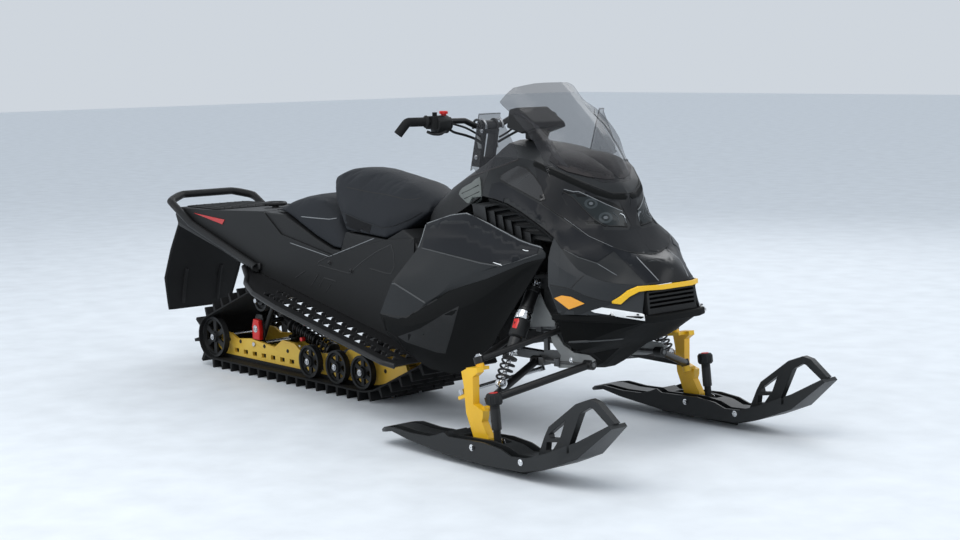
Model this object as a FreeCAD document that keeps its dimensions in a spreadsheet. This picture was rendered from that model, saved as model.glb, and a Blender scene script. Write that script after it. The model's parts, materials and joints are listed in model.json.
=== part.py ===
import FreeCAD, Part
import math
import os

# Snowmobile, in millimetres. X points forward, Y to the rider's left, Z up.
# The origin lies on the ground under the middle of the vehicle.

Vector = FreeCAD.Vector
Placement = FreeCAD.Placement
Rotation = FreeCAD.Rotation

doc = FreeCAD.newDocument("Snowmobile")
sheet = doc.addObject("Spreadsheet::Sheet", "Sizes")

# Driving sizes: name, value, what it measures
SIZES = (
    ("track_width", 381, "belt width"),
    ("belt_thickness", 7, "belt without lugs"),
    ("lug_height", 38, "lug above the belt"),
    ("lug_pitch", 72.6, "wanted spacing of the lugs along the belt"),
    ("lug_root", 17, "lug length at the belt"),
    ("lug_tip", 9, "lug length at the tip"),
    ("lug_column_gap", 26, "bare strip between lug columns"),
    ("center_column", 118, "width of the middle lug column"),
    ("running_gap", 0.3, "clearance between curved faces that meet"),
    ("idler_x", -1269, "rear idler axle"),
    ("idler_radius", 93, "rear idler wheel"),
    ("carrier_x", -880, "carrier wheel axle"),
    ("carrier_z", 345, "carrier wheel axle height"),
    ("carrier_radius", 50, "carrier wheel"),
    ("driver_x", 190, "drive axle"),
    ("driver_z", 276, "drive axle height"),
    ("driver_radius", 90, "drive sprocket"),
    ("bend_x", -159, "start of the front bend of the rails"),
    ("bend_radius", 300, "front bend of the rails"),
    ("bogie_radius", 70.5, "lower wheels"),
    ("wheel_width", 31, "tread of every track wheel"),
    ("wheel_inset", 15.5, "outer face of the wheels to the belt edge"),
    ("axle_radius", 10, "track wheel axles"),
    ("axle_end", 4, "axle beyond the outer face of its wheels"),
    ("pivot_end", 6, "arm axle beyond the outer face of the rail"),
    ("rail_inset", 57, "middle of each rail to the outer face of the wheels"),
    ("rail_thickness", 13, "rail plate"),
    ("slide_height", 15, "slide strip under each rail"),
    ("tunnel_clearance", 14.5, "belt edge to the outer face of the tunnel"),
    ("sheet_wall", 3, "tunnel sheet"),
    ("board_reach", 215, "running boards beyond the tunnel"),
    ("board_wall", 4, "running board sheet"),
    ("board_height", 310, "board plane height above the origin"),
    ("board_rise", 0.2, "rise of the boards to the rear"),
    ("board_tube", 11, "edge tube radius"),
    ("bar_radius", 17, "grab bar tube"),
    ("flap_wall", 7, "snow flap"),
    ("panel_wall", 6, "body panels"),
    ("bumper_z", 497, "middle height of the front bumper"),
    ("bumper_height", 25.4, "front bumper"),
    ("screen_wall", 4, "windshield"),
    ("seam_gap", 0.5, "joint around each lens"),
    ("engine_length", 365, "engine block along X"),
    ("engine_width", 420, "engine block across"),
    ("engine_height", 330, "engine block"),
    ("engine_x", 372.3, "rear face of the engine"),
    ("engine_z", 330, "underside of the engine"),
    ("kingpin_y", 500, "kingpin from the middle"),
    ("kingpin_top_x", 948, "upper ball"),
    ("kingpin_top_z", 348, "upper ball height"),
    ("kingpin_low_x", 1003, "lower ball"),
    ("kingpin_low_z", 215, "lower ball height"),
    ("ball_pin", 7, "ball joint stud radius"),
    ("ball_eye", 17, "ball joint housing radius"),
    ("ski_y", 540, "middle of each ski"),
    ("ski_width", 146, "ski across"),
    ("ski_pivot_x", 1040, "ski bolt"),
    ("ski_pivot_z", 72, "ski bolt height"),
    ("ski_bolt", 8, "ski bolt radius"),
    ("leg_width", 30, "spindle leg across"),
    ("saddle_gap", 7, "leg to the ski's saddle walls"),
    ("handle_width", 26, "ski loop across"),
    ("arm_tube", 14, "lower arm tube radius"),
    ("upper_tube", 11, "upper arm tube radius"),
    ("tie_tube", 8, "tie rod radius"),
    ("tie_x", 905, "outer tie rod ball"),
    ("tie_z", 236, "outer tie rod ball height"),
    ("shock_radius", 24, "front shock body"),
    ("post_x", 418, "steering axis where it leaves the console"),
    ("post_z", 966, "height of that point"),
    ("post_tilt", 22, "steering axis from upright, degrees"),
    ("post_radius", 14, "steering post"),
    ("bar_x", 450, "handlebar clamp"),
    ("bar_z", 1130, "handlebar clamp height"),
    ("bar_tube", 11, "handlebar tube radius"),
    ("grip_radius", 17, "hand grip"),
    ("grip_start", 288, "inner end of the grips"),
    ("control_y", 250, "middle of the hand controls"),
)


def fill_sheet():
    for row, (name, value, note) in enumerate(SIZES, start=1):
        sheet.set("A%d" % row, note)
        sheet.set("B%d" % row, str(value))
        sheet.setAlias("B%d" % row, name)
    doc.recompute()


def size(name):
    return float(sheet.get(name))


def tunnel_half():
    """Outer face of the tunnel from the middle."""
    return size("track_width") / 2 + size("tunnel_clearance")


def wheel_outer():
    """Outer face of the track wheels from the middle."""
    return size("track_width") / 2 - size("wheel_inset")


def rail_center():
    """Middle of each rail from the middle."""
    return wheel_outer() - size("rail_inset")


def bind(obj, **rules):
    for prop, rule in rules.items():
        obj.setExpression(prop.replace("__", "."), rule)


# Finished sub-parts by node name
nodes = {}


def node(name, obj):
    obj.Label = name
    nodes[name] = obj
    return obj


def feature(name, shape):
    obj = doc.addObject("Part::Feature", name)
    obj.Shape = shape
    obj.Placement = Placement()
    return node(name, obj)


def mirrored(shape):
    return shape.mirror(Vector(0, 0, 0), Vector(0, 1, 0))


def both_sides(shape):
    return Part.makeCompound([shape, mirrored(shape)])


# Outline helpers

def closed_wire(points):
    return Part.makePolygon(list(points) + [points[0]])


def prism_y(profile, low, high):
    """Plate with an outline of (x, z) points between two values of y."""
    points = [Vector(x, low, z) for x, z in profile]
    return Part.Face(closed_wire(points)).extrude(Vector(0, high - low, 0))


def upright(x, z, across, tall):
    """Rectangle around (x, z) from its half sizes."""
    return [(x - across, z - tall), (x + across, z - tall), (x + across, z + tall), (x - across, z + tall)]


def prism_z(profile, low, high):
    points = [Vector(x, y, low) for x, y in profile]
    return Part.Face(closed_wire(points)).extrude(Vector(0, 0, high - low))


def flat_faces(corners):
    """One flat face through four corners, or two triangles where they twist."""
    a, b, c, d = corners
    normal = (b - a).cross(c - a)
    twist = abs(normal.dot(d - a)) / max(normal.Length, 1e-9)
    if normal.Length > 1e-6 and (d - a).cross(c - a).Length > 1e-6 and twist < 1e-7:
        return [Part.Face(closed_wire(corners))]
    halves = ((a, b, c), (a, c, d))
    if (d - b).Length < (c - a).Length - 1e-6:
        halves = ((a, b, d), (b, c, d))
    faces = []
    for triple in halves:
        if (triple[1] - triple[0]).cross(triple[2] - triple[0]).Length > 1e-6:
            faces.append(Part.Face(closed_wire(triple)))
    return faces


def skin(sections):
    """Flat-faced solid through closed sections of equally many points.

    A section runs along one side and back along the other, so that each
    point faces the one that stands as far from the section's end.
    """
    count = len(sections[0])
    faces = []
    for first, second in zip(sections, sections[1:]):
        for index in range(count):
            after = (index + 1) % count
            faces += flat_faces([first[index], first[after], second[after], second[index]])
    for section in (sections[0], sections[-1]):
        for index in range(count // 2 - 1):
            back = count - 1 - index
            faces += flat_faces([section[index], section[index + 1], section[back - 1], section[back]])
        if count % 2:
            middle = count // 2
            triple = [section[middle - 1], section[middle], section[middle + 1]]
            faces.append(Part.Face(closed_wire(triple)))
    solid = Part.Solid(Part.Shell(faces))
    if solid.Volume < 0:
        solid.reverse()
    return solid


def rod(start, end, radius):
    along = end - start
    return Part.makeCylinder(radius, along.Length, start, along)


def route(points, bend):
    """Runs joined by tangent arcs of one radius."""
    edges = []
    start = points[0]
    for before, corner, after in zip(points, points[1:], points[2:]):
        back = (before - corner).normalize()
        ahead = (after - corner).normalize()
        half = back.getAngle(ahead) / 2
        reach = bend / math.tan(half)
        entry = corner + back * reach
        leave = corner + ahead * reach
        middle_way = (back + ahead).normalize()
        middle = corner + middle_way * (bend / math.sin(half) - bend)
        edges.append(Part.LineSegment(start, entry).toShape())
        edges.append(Part.Arc(entry, middle, leave).toShape())
        start = leave
    edges.append(Part.LineSegment(start, points[-1]).toShape())
    return Part.Wire(edges)


def pipe(points, radius, bend):
    path = route(points, bend)
    along = points[1] - points[0]
    ring = Part.Wire(Part.makeCircle(radius, points[0], along))
    return path.makePipeShell([ring], True, False)


def fused(shapes):
    result = shapes[0]
    if len(shapes) > 1:
        result = shapes[0].multiFuse(shapes[1:])
    return result.removeSplitter()


# Sketch helpers for bodies

def origin_plane(body, role):
    return [f for f in body.Origin.OriginFeatures if f.Role == role][0]


def add_sketch(body, name, role, profile):
    sketch = body.newObject("Sketcher::SketchObject", name)
    sketch.AttachmentSupport = [(origin_plane(body, role), "")]
    sketch.MapMode = "FlatFace"
    for (ax, ay), (bx, by) in zip(profile, profile[1:] + profile[:1]):
        line = Part.LineSegment(Vector(ax, ay, 0), Vector(bx, by, 0))
        sketch.addGeometry(line)
    return sketch


def pad_body(name, role, profile, length_rule):
    """Body with one pad, even on both sides of its sketch."""
    body = doc.addObject("PartDesign::Body", name + "_body")
    sketch = add_sketch(body, name + "_outline", role, profile)
    pad = body.newObject("PartDesign::Pad", name + "_pad")
    pad.Profile = sketch
    pad.SideType = "Symmetric"
    pad.setExpression("Length", length_rule)
    doc.recompute()
    return body


# Belt path

def belt_circles():
    """Circles that the belt's inner face runs on: x, z, radius."""
    ground = size("lug_height") + size("belt_thickness")
    idler = (size("idler_x"), ground + size("idler_radius"), size("idler_radius"))
    bend = (size("bend_x"), ground + size("bend_radius"), size("bend_radius"))
    driver = (size("driver_x"), size("driver_z"), size("driver_radius"))
    carrier = (size("carrier_x"), size("carrier_z"), size("carrier_radius"))
    return [idler, bend, driver, carrier]


def belt_path():
    """Pieces of the path as (kind, length, data), from the idler forward."""
    circles = belt_circles()
    headings = []
    for (ax, az, ar), (bx, bz, br) in zip(circles, circles[1:] + circles[:1]):
        span = math.hypot(bx - ax, bz - az)
        heading = math.atan2(bz - az, bx - ax) + math.asin((ar - br) / span)
        headings.append(heading)
    pieces = []
    count = len(circles)
    for index in range(count):
        ax, az, ar = circles[index]
        bx, bz, br = circles[(index + 1) % count]
        heading = headings[index]
        out = (math.sin(heading), -math.cos(heading))
        start = (ax + ar * out[0], az + ar * out[1])
        end = (bx + br * out[0], bz + br * out[1])
        length = math.hypot(end[0] - start[0], end[1] - start[1])
        pieces.append(("run", length, (start, heading)))
        turn = (headings[(index + 1) % count] - heading) % (2 * math.pi)
        pieces.append(("arc", turn * br, ((bx, bz), br, heading)))
    return pieces


def belt_point(pieces, distance, offset):
    """Point at a distance along the path, offset outward."""
    total = sum(piece[1] for piece in pieces)
    distance = distance % total
    for kind, length, data in pieces:
        if distance <= length:
            break
        distance -= length
    if kind == "run":
        (x, z), heading = data
        out = (math.sin(heading), -math.cos(heading))
        px = x + distance * math.cos(heading) + offset * out[0]
        pz = z + distance * math.sin(heading) + offset * out[1]
        return px, pz
    (cx, cz), radius, heading = data
    angle = heading + distance / radius
    reach = radius + offset
    return cx + reach * math.sin(angle), cz - reach * math.cos(angle)


def belt_inner_face(pieces):
    edges = []
    for kind, length, data in pieces:
        if kind == "run":
            (x, z), heading = data
            start = Vector(x, 0, z)
            step = Vector(math.cos(heading), 0, math.sin(heading)) * length
            edges.append(Part.LineSegment(start, start + step).toShape())
            continue
        (cx, cz), radius, heading = data
        marks = []
        for share in (0, 0.5, 1):
            angle = heading + share * length / radius
            marks.append(Vector(cx + radius * math.sin(angle), 0, cz - radius * math.cos(angle)))
        edges.append(Part.Arc(*marks).toShape())
    return Part.Face(Part.Wire(edges))


def belt_outer_points(pieces, with_lugs, phase):
    total = sum(piece[1] for piece in pieces)
    count = int(round(total / size("lug_pitch")))
    pitch = total / count
    base = size("belt_thickness")
    tip = base + size("lug_height")
    root = size("lug_root") / 2
    crest = size("lug_tip") / 2
    points = []
    for index in range(count):
        middle = (index + phase) * pitch
        marks = [(-root, base), (root, base)]
        if with_lugs:
            marks = [(-root, base), (-crest, tip), (crest, tip), (root, base)]
        marks.append((pitch / 2, base))
        for shift, offset in marks:
            points.append(belt_point(pieces, middle + shift, offset))
    return points


def belt_slab(pieces, with_lugs, phase, low, high):
    points = [Vector(x, 0, z) for x, z in belt_outer_points(pieces, with_lugs, phase)]
    face = Part.Face(closed_wire(points)).cut(belt_inner_face(pieces))
    slab = face.extrude(Vector(0, high - low, 0))
    slab.translate(Vector(0, low, 0))
    return slab


def make_track():
    pieces = belt_path()
    edge = size("track_width") / 2
    inner = size("center_column") / 2
    outer = inner + size("lug_column_gap")
    slabs = [
        belt_slab(pieces, True, 0.25, -edge, -outer),
        belt_slab(pieces, False, 0.25, -outer, -inner),
        belt_slab(pieces, True, 0.25, -inner, inner),
        belt_slab(pieces, False, 0.25, inner, outer),
        belt_slab(pieces, True, 0.25, outer, edge),
    ]
    feature("track", slabs[0].multiFuse(slabs[1:]))


# Wheels, axles, rails and arms inside the track

def wheel_solid(radius, x, z, outer_y):
    """Wheel with a rubber tread, an open web and a hub."""
    width = size("wheel_width")
    gap = size("running_gap")
    hub = size("axle_radius") + 12
    rim = radius - 13
    profile = [
        (size("axle_radius") + gap, 0),
        (hub, 0),
        (hub + 3, width * 0.35),
        (rim, width * 0.35),
        (rim + 3, 2),
        (radius - gap, 2),
        (radius - gap, width - 2),
        (rim + 3, width - 2),
        (rim, width * 0.65),
        (hub + 3, width * 0.65),
        (hub, width),
        (size("axle_radius") + gap, width),
    ]
    points = [Vector(r, y, 0) for r, y in profile]
    spun = Part.Face(closed_wire(points)).revolve(Vector(0, 0, 0), Vector(0, 1, 0), 360)
    windows = []
    spokes = 6
    for index in range(spokes):
        half = math.pi / spokes
        way = 2 * half * index
        corners = []
        for reach, turn in ((hub + 7, 0.35), (rim - 4, 0.66), (rim - 4, -0.66), (hub + 7, -0.35)):
            angle = way + turn * half
            corners.append((reach * math.cos(angle), reach * math.sin(angle)))
        windows.append(prism_y(corners, -1, width + 1))
    wheel = spun.cut(windows)
    wheel.translate(Vector(x, outer_y - width, z))
    return wheel


def wheel_places():
    """Wheels of one side: x, z, radius."""
    ground = size("lug_height") + size("belt_thickness")
    rows = [
        (size("idler_x"), ground + size("idler_radius"), size("idler_radius")),
        (size("carrier_x"), size("carrier_z"), size("carrier_radius")),
    ]
    for x in (-530, -337, -163):
        rows.append((x, ground + size("bogie_radius"), size("bogie_radius")))
    return rows


def make_wheels():
    wheels = []
    for x, z, radius in wheel_places():
        wheel = wheel_solid(radius, x, z, wheel_outer())
        wheels.append(wheel)
        wheels.append(mirrored(wheel))
    feature("track_wheels", Part.makeCompound(wheels))


ARM_PIVOTS = (
    ("front_low", -430, 138),
    ("rear_low", -1010, 128),
)


# Upper pivot of the front skid arm: x, z
FRONT_ARM_TOP = (20, 322)


def axle(name, x, z, reach_rule):
    """Round bar across the vehicle, its half length given by a rule."""
    bar = doc.addObject("Part::Cylinder", name)
    bar.Placement = Placement(Vector(x, 0, z), Rotation(Vector(1, 0, 0), -90))
    bind(
        bar,
        Radius="Sizes.axle_radius",
        Height="2 * (%s)" % reach_rule,
        Placement__Base__y="-(%s)" % reach_rule,
    )
    return bar


def make_axles():
    wheel_rule = "Sizes.track_width / 2 - Sizes.wheel_inset + Sizes.axle_end"
    wall_rule = "Sizes.track_width / 2 + Sizes.tunnel_clearance - Sizes.sheet_wall - Sizes.running_gap"
    rail_rule = "Sizes.track_width / 2 - Sizes.wheel_inset - Sizes.rail_inset + Sizes.rail_thickness / 2"
    pivot_rule = rail_rule + " + Sizes.pivot_end"
    bars = []
    for index, (x, z, _) in enumerate(wheel_places()):
        rule = wall_rule if x == size("carrier_x") else wheel_rule
        bars.append(axle("wheel_axle_%d" % index, x, z, rule))
    x, z = FRONT_ARM_TOP
    bars.append(axle("arm_axle_top", x, z, wall_rule))
    for name, x, z in ARM_PIVOTS:
        bars.append(axle("arm_axle_" + name, x, z, pivot_rule))
    group = doc.addObject("Part::Compound", "skid_axle_set")
    group.Links = bars
    doc.recompute()
    node("skid_axles", group)


def rail_outline(ground):
    """Side outline of a rail above its slide: (x, z)."""
    low = ground + size("slide_height")
    radius = size("bend_radius") - size("slide_height")
    bend_x = size("bend_x")
    outline = [(-1330, 100), (-1262, low), (bend_x, low)]
    for step in (1, 2, 3, 4):
        angle = math.radians(24.0 * step / 4)
        center = ground + size("bend_radius")
        outline.append((bend_x + radius * math.sin(angle), center - radius * math.cos(angle)))
    tip_x, tip_z = outline[-1]
    outline += [
        (tip_x + 128, tip_z + 57),
        (tip_x + 116, tip_z + 84),
        (tip_x + 20, tip_z + 60),
        (-110, 178),
        (-190, 152),
        (-250, 196),
        (-310, 186),
        (-360, 140),
        (-470, 152),
        (-640, 132),
        (-700, 168),
        (-790, 172),
        (-850, 134),
        (-1040, 150),
        (-1150, 138),
        (-1200, 158),
        (-1345, 158),
    ]
    return outline


def make_rails():
    ground = size("lug_height") + size("belt_thickness")
    half = size("rail_thickness") / 2
    low = rail_center() - half
    high = rail_center() + half
    rail = prism_y(rail_outline(ground), low, high)
    cuts = []
    base = ground + size("slide_height")
    for index in range(14):
        x = -1170 + 72 * index
        window = [(x, base + 14), (x + 34, base + 14), (x + 34, base + 34), (x, base + 34)]
        cuts.append(prism_y(window, low - 1, high + 1))
    bore = size("axle_radius") + size("running_gap")
    pivots = [(x, z) for x, z, _ in wheel_places()]
    pivots += [(x, z) for _, x, z in ARM_PIVOTS]
    for x, z in pivots:
        cuts.append(rod(Vector(x, low - 1, z), Vector(x, high + 1, z), bore))
    feature("skid_rails", both_sides(rail.cut(cuts)))


def make_slides():
    """Dark wear strips under the rails, bent up at the front."""
    ground = size("lug_height") + size("belt_thickness")
    gap = size("running_gap")
    radius = size("bend_radius")
    center = ground + radius
    under = [(-1262, ground + gap), (size("bend_x"), ground + gap)]
    over = [(-1262, ground + size("slide_height")), (size("bend_x"), ground + size("slide_height"))]
    for step in (1, 2, 3, 4):
        angle = math.radians(24.0 * step / 4)
        low = radius - gap - 0.3
        high = radius - size("slide_height")
        x = size("bend_x")
        under.append((x + low * math.sin(angle), center - low * math.cos(angle)))
        over.append((x + high * math.sin(angle), center - high * math.cos(angle)))
    outline = under + list(reversed(over))
    half = size("rail_thickness") / 2 + 3
    strip = prism_y(outline, rail_center() - half, rail_center() + half)
    feature("rail_slides", both_sides(strip))


def arm_rows():
    """Front and rear skid arm: lower pivot, upper pivot, tube from the middle."""
    rows = []
    tops = (FRONT_ARM_TOP, (size("carrier_x"), size("carrier_z")))
    for (_, x, z), (top_x, top_z), half in zip(ARM_PIVOTS, tops, (92, 88)):
        rows.append((Vector(x, 0, z), Vector(top_x, 0, top_z), half))
    return rows


def make_skid_arms():
    """Front and rear arm of the skid, each a pair of tubes with cross tubes."""
    tube = 12
    bore = size("axle_radius") + size("running_gap")
    arms = []
    for low, top, half in arm_rows():
        pieces = []
        for side in (-1, 1):
            shift = Vector(0, side * half, 0)
            pieces.append(rod(low + shift, top + shift, tube))
            for spot in (low, top):
                edge = Vector(0, tube + 3, 0)
                pieces.append(rod(spot + shift - edge, spot + shift + edge, 20))
        middle = (low + top) * 0.5
        pieces.append(rod(middle - Vector(0, half, 0), middle + Vector(0, half, 0), 11))
        arm = fused(pieces)
        cuts = []
        for spot in (low, top):
            cuts.append(rod(spot - Vector(0, half + 20, 0), spot + Vector(0, half + 20, 0), bore))
        for cut in cuts:
            arm = arm.cut(cut)
        arms.append(arm)
    feature("skid_arms", Part.makeCompound(arms))


def make_skid_shocks():
    """Two shock absorbers lying in the middle of the skid."""
    gap = size("running_gap")
    ground = size("lug_height") + size("belt_thickness")
    shocks = []
    for (arm_low, arm_top, _), axle_x in zip(arm_rows(), (-337, -530)):
        low = Vector(axle_x, 0, ground + size("bogie_radius"))
        top = (arm_low + arm_top) * 0.5
        way = (top - low).normalize()
        length = (top - low).Length
        across = Vector(0, 14, 0)
        pieces = [
            rod(low + way * length * 0.42, top - way * 24, 22),
            rod(low, low + way * length * 0.45, 9),
            rod(low - across, low + across, 19),
            rod(top - way * 26, top, 9),
            rod(top - across, top + across, 20),
        ]
        shock = fused(pieces)
        shock = shock.cut(rod(low - across * 2, low + across * 2, size("axle_radius") + gap))
        shocks.append(shock.cut(rod(top - across * 2, top + across * 2, 11 + gap)))
    feature("skid_shocks", Part.makeCompound(shocks))


def make_drive_axle():
    x = size("driver_x")
    z = size("driver_z")
    wall = tunnel_half() - size("sheet_wall")
    end = wall - size("running_gap")
    shaft = rod(Vector(x, -end, z), Vector(x, end, z), 16)
    discs = []
    for y in (-75, 75):
        disc = rod(Vector(x, y - 12, z), Vector(x, y + 12, z), size("driver_radius") - size("running_gap"))
        holes = []
        for index in range(6):
            angle = math.radians(60 * index)
            cx = x + 56 * math.cos(angle)
            cz = z + 56 * math.sin(angle)
            holes.append(rod(Vector(cx, y - 20, cz), Vector(cx, y + 20, cz), 17))
        discs.append(disc.cut(holes))
    feature("drive_axle", fused([shaft] + discs))


# Tunnel, boards and tail

def board_z(x):
    return size("board_height") - size("board_rise") * x


def tunnel_roof(x):
    return 668 - (x + 1490) * (668 - 478) / (372 + 1490)


def make_tunnel():
    """Bent sheet channel over the track, open below, closed at the front."""
    wall = size("sheet_wall")
    half = tunnel_half()
    lift = 6
    outline = [
        (-1490, 640),
        (-930, board_z(-930) + lift),
        (352, board_z(352) + lift),
        (372, 478),
        (-1490, 668),
    ]
    inner = [
        (-1500, 630),
        (-1500, 665 - wall),
        (369 - wall, 478 - wall),
        (352 - wall, board_z(352) - 30),
        (-930, board_z(-930) - 30),
    ]
    shell = prism_y(outline, -half, half).cut(prism_y(inner, -half + wall, half - wall))
    feature("tunnel", shell)


# Full width of the tunnel and of what lies on it
TUNNEL_WIDTH_RULE = "Sizes.track_width + 2 * Sizes.tunnel_clearance"


# Running board outline from the front to its rear point: x, set back from the outer edge
BOARD_PLAN = (
    (350, 20),
    (300, 0),
    (-400, 0),
    (-590, 20),
    (-720, 70),
    (-800, 130),
    (-925, 198),
)


def board_edge():
    outer = tunnel_half() + size("board_reach")
    return [(x, outer - back) for x, back in BOARD_PLAN]


def board_plate():
    half = tunnel_half()
    wall = size("board_wall")
    seam = half + size("running_gap")
    plan = board_edge() + [(-925, seam), (350, seam)]
    tall = prism_z(plan, 0, 700)
    band = [
        (400, board_z(400) - wall),
        (400, board_z(400)),
        (-980, board_z(-980)),
        (-980, board_z(-980) - wall),
    ]
    return tall.common(prism_y(band, 0, 500))


def make_running_boards():
    plate = board_plate()
    holes = []
    for index in range(13):
        x = -560 + 68 * index
        for across in (65, 130):
            y = tunnel_half() + across
            slot = [(x, y), (x + 40, y), (x + 40, y + 34), (x, y + 34)]
            holes.append(prism_z(slot, 0, 700))
    plate = plate.cut(holes)
    radius = size("board_tube")
    path = [Vector(x, y, board_z(x) - size("board_wall") / 2) for x, y in board_edge()]
    tube = pipe(path, radius, 60)
    feature("running_boards", both_sides(fused([plate, tube])))


def cover_face():
    """Outer face of the side covers from the middle."""
    return tunnel_half() + 0.5 + size("panel_wall")


def make_grab_bar():
    """Rear bar: one tube down each side of the tail and across behind it."""
    radius = size("bar_radius")
    side = cover_face() + radius + size("running_gap")
    points = [
        Vector(-820, -side, 500),
        Vector(-1330, -side, 655),
        Vector(-1508, -side, 750),
        Vector(-1552, -136, 774),
        Vector(-1552, 136, 774),
        Vector(-1508, side, 750),
        Vector(-1330, side, 655),
        Vector(-820, side, 500),
    ]
    feature("grab_bar", pipe(points, radius, 45))


def make_snow_flap():
    """Hanging rubber sheet behind the tunnel: rows of x, z, set in from the tunnel side."""
    wall = size("flap_wall")
    top_x = -1490 - size("running_gap") - wall / 2
    rows = ((top_x, 667, 15), (-1560, 520, 0), (-1625, 380, 0), (-1658.5, 228, 35))
    sections = []
    for x, z, inset in rows:
        half = tunnel_half() - inset
        sections.append([
            Vector(x - wall / 2, -half, z),
            Vector(x - wall / 2, half, z),
            Vector(x + wall / 2, half, z),
            Vector(x + wall / 2, -half, z),
        ])
    feature("snow_flap", skin(sections))


def make_tail_cover():
    seam = size("running_gap")
    outline = [
        (-1495, 672),
        (-1480, 724),
        (-1200, 724),
        (-790, 744),
        (-790, tunnel_roof(-790) + seam),
        (-1489, tunnel_roof(-1489) + seam),
    ]
    node("tail_cover", pad_body("tail_cover", "XZ_Plane", outline, TUNNEL_WIDTH_RULE))


def make_side_covers():
    """Side plates between the boards, the seat and the tail."""
    low = tunnel_half() + 0.5
    high = low + size("panel_wall")
    outline = [
        (345, board_z(345) + 0.3),
        (345, 470),
        (240, 560),
        (250, 700),
        (66, 680),
        (-283, 592),
        (-650, 655),
        (-780, 745),
        (-1200, 727),
        (-1480, 722),
        (-1497, 690),
        (-1480, 655),
        (-925, board_z(-925) + 0.3),
    ]
    feature("side_covers", both_sides(prism_y(outline, low, high)))


# Seats and console

# Driver's seat sections: x, low z, side z, top z, low edge beyond the tunnel, top half width
SEAT_ROWS = (
    (-392, 888, 900, 926, -87, 84),
    (-330, 806, 870, 942, -45, 100),
    (-200, 694.3, 790, 938, 3, 112),
    (66, 682.3, 760, 898, 9, 108),
    (150, 722, 790, 868, -35, 90),
    (225, 790, 815, 838, -95, 66),
)


def seat_section(x, low, side, top, beyond, crown):
    """Closed section with a flat base, bulged sides and a crowned top."""
    wide = tunnel_half() + beyond
    half = [
        (wide - 10, low),
        (wide, low + 8),
        (wide - 8, side),
        (crown + 14, top - 16),
        (crown * 0.6, top - 2),
    ]
    right = [Vector(x, -y, z) for y, z in half]
    left = [Vector(x, y, z) for y, z in reversed(half)]
    return right + [Vector(x, 0, top)] + left


def make_driver_seat():
    sections = [seat_section(*row) for row in SEAT_ROWS]
    feature("driver_seat", skin(sections))


# Passenger pad sections: x, low z, side z, top z, low edge beyond the tunnel, top half width
PAD_ROWS = (
    (-775, 743, 746, 752, -55, 110),
    (-640, 738.3, 780, 812, -15, 130),
    (-510, 692.4, 770, 832, -5, 140),
    (-420, 656.4, 750, 826, -2, 140),
    (-300, 618.4, 680, 752, -2, 150),
    (-245, 614.8, 640, 690, -2, 150),
)


def make_passenger_seat():
    sections = [seat_section(*row) for row in PAD_ROWS]
    feature("passenger_seat", skin(sections))


def make_seat_base():
    """Tank and seat carrier between the seats and the tunnel."""
    seam = size("running_gap")
    outline = [
        (345, tunnel_roof(345) + seam),
        (345, 560),
        (232, 700),
        (170, 728),
        (66, 682),
        (-200, 694),
        (-238, 614),
        (-300, 618),
        (-420, 656),
        (-510, 692),
        (-640, 738),
        (-789, 743),
        (-789, tunnel_roof(-789) + seam),
    ]
    node("seat_base", pad_body("seat_base", "XZ_Plane", outline, TUNNEL_WIDTH_RULE))


# Console sections: x, then (y, z) from the middle outward down to its foot
CONSOLE_ROWS = (
    (236, ((0, 846), (60, 838), (96, 806), (112, 780), (118, 760), (120, 744), (120, 716))),
    (330, ((0, 888), (80, 878), (138, 842), (158, 815), (166, 790), (170, 764), (170, 728))),
    (430, ((0, 950), (90, 938), (160, 902), (186, 872), (196, 846), (202, 818), (204, 780))),
    (560, ((0, 1008), (106, 996), (172, 956), (204, 912), (218, 880), (227, 852), (232, 828))),
    (691.2, ((0, 1086), (110, 1074), (184, 1026), (218, 966), (232, 938), (242, 912), (249, 890))),
)
CONSOLE_CREASES = (3, 4, 8, 9)


def make_console():
    stations = [full_row([(x, y, z) for y, z in half]) for x, half in CONSOLE_ROWS]
    body = skin(fine_grid(stations, CONSOLE_CREASES, (), 2, 1))
    axis = post_axis()
    base = Vector(size("post_x"), 0, size("post_z"))
    well = rod(base - axis * 60, base + axis * 60, size("post_radius") + size("running_gap"))
    feature("console", body.cut(well))


def make_gauge():
    outline = [(640, 1128), (655, 1196), (700, 1204), (790, 1150), (800, 1130), (720, 1108)]
    pod = prism_y(outline, -78, 78)
    neck = prism_y([(700, 1085.4), (740, 1080), (760, 1122), (700, 1118)], -40, 40)
    feature("gauge", fused([pod, neck]))


# Smooth panels

def curve_through(points, spans):
    """Points of a smooth curve through a row of points, equal spans between two."""
    lengths = [(b - a).Length for a, b in zip(points, points[1:])]
    reaches = [0] + lengths + [0]
    slopes = []
    for index in range(len(points)):
        before = points[max(index - 1, 0)]
        after = points[min(index + 1, len(points) - 1)]
        slopes.append((after - before) * (1 / (reaches[index] + reaches[index + 1])))
    line = []
    for index, length in enumerate(lengths):
        for step in range(spans):
            t = step / spans
            start = points[index] * (2 * t ** 3 - 3 * t ** 2 + 1)
            end = points[index + 1] * (3 * t ** 2 - 2 * t ** 3)
            leave = slopes[index] * (length * (t ** 3 - 2 * t ** 2 + t))
            arrive = slopes[index + 1] * (length * (t ** 3 - t ** 2))
            line.append(start + end + leave + arrive)
    return line + [points[-1]]


def curve_with_corners(points, corners, spans):
    """The same curve, broken at the points whose indexes are corners."""
    marks = [0] + list(corners) + [len(points) - 1]
    line = []
    for start, end in zip(marks, marks[1:]):
        line += curve_through(points[start:end + 1], spans)[:-1]
    return line + [points[-1]]


def fine_grid(stations, creases=(), bends=(), along=2, across=1):
    """Denser grid over stations of points: lines in creases and stations in bends stay sharp."""
    lines = []
    for index in range(len(stations[0])):
        lines.append(curve_with_corners([row[index] for row in stations], bends, along))
    return [curve_with_corners(list(row), creases, across) for row in zip(*lines)]


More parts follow.
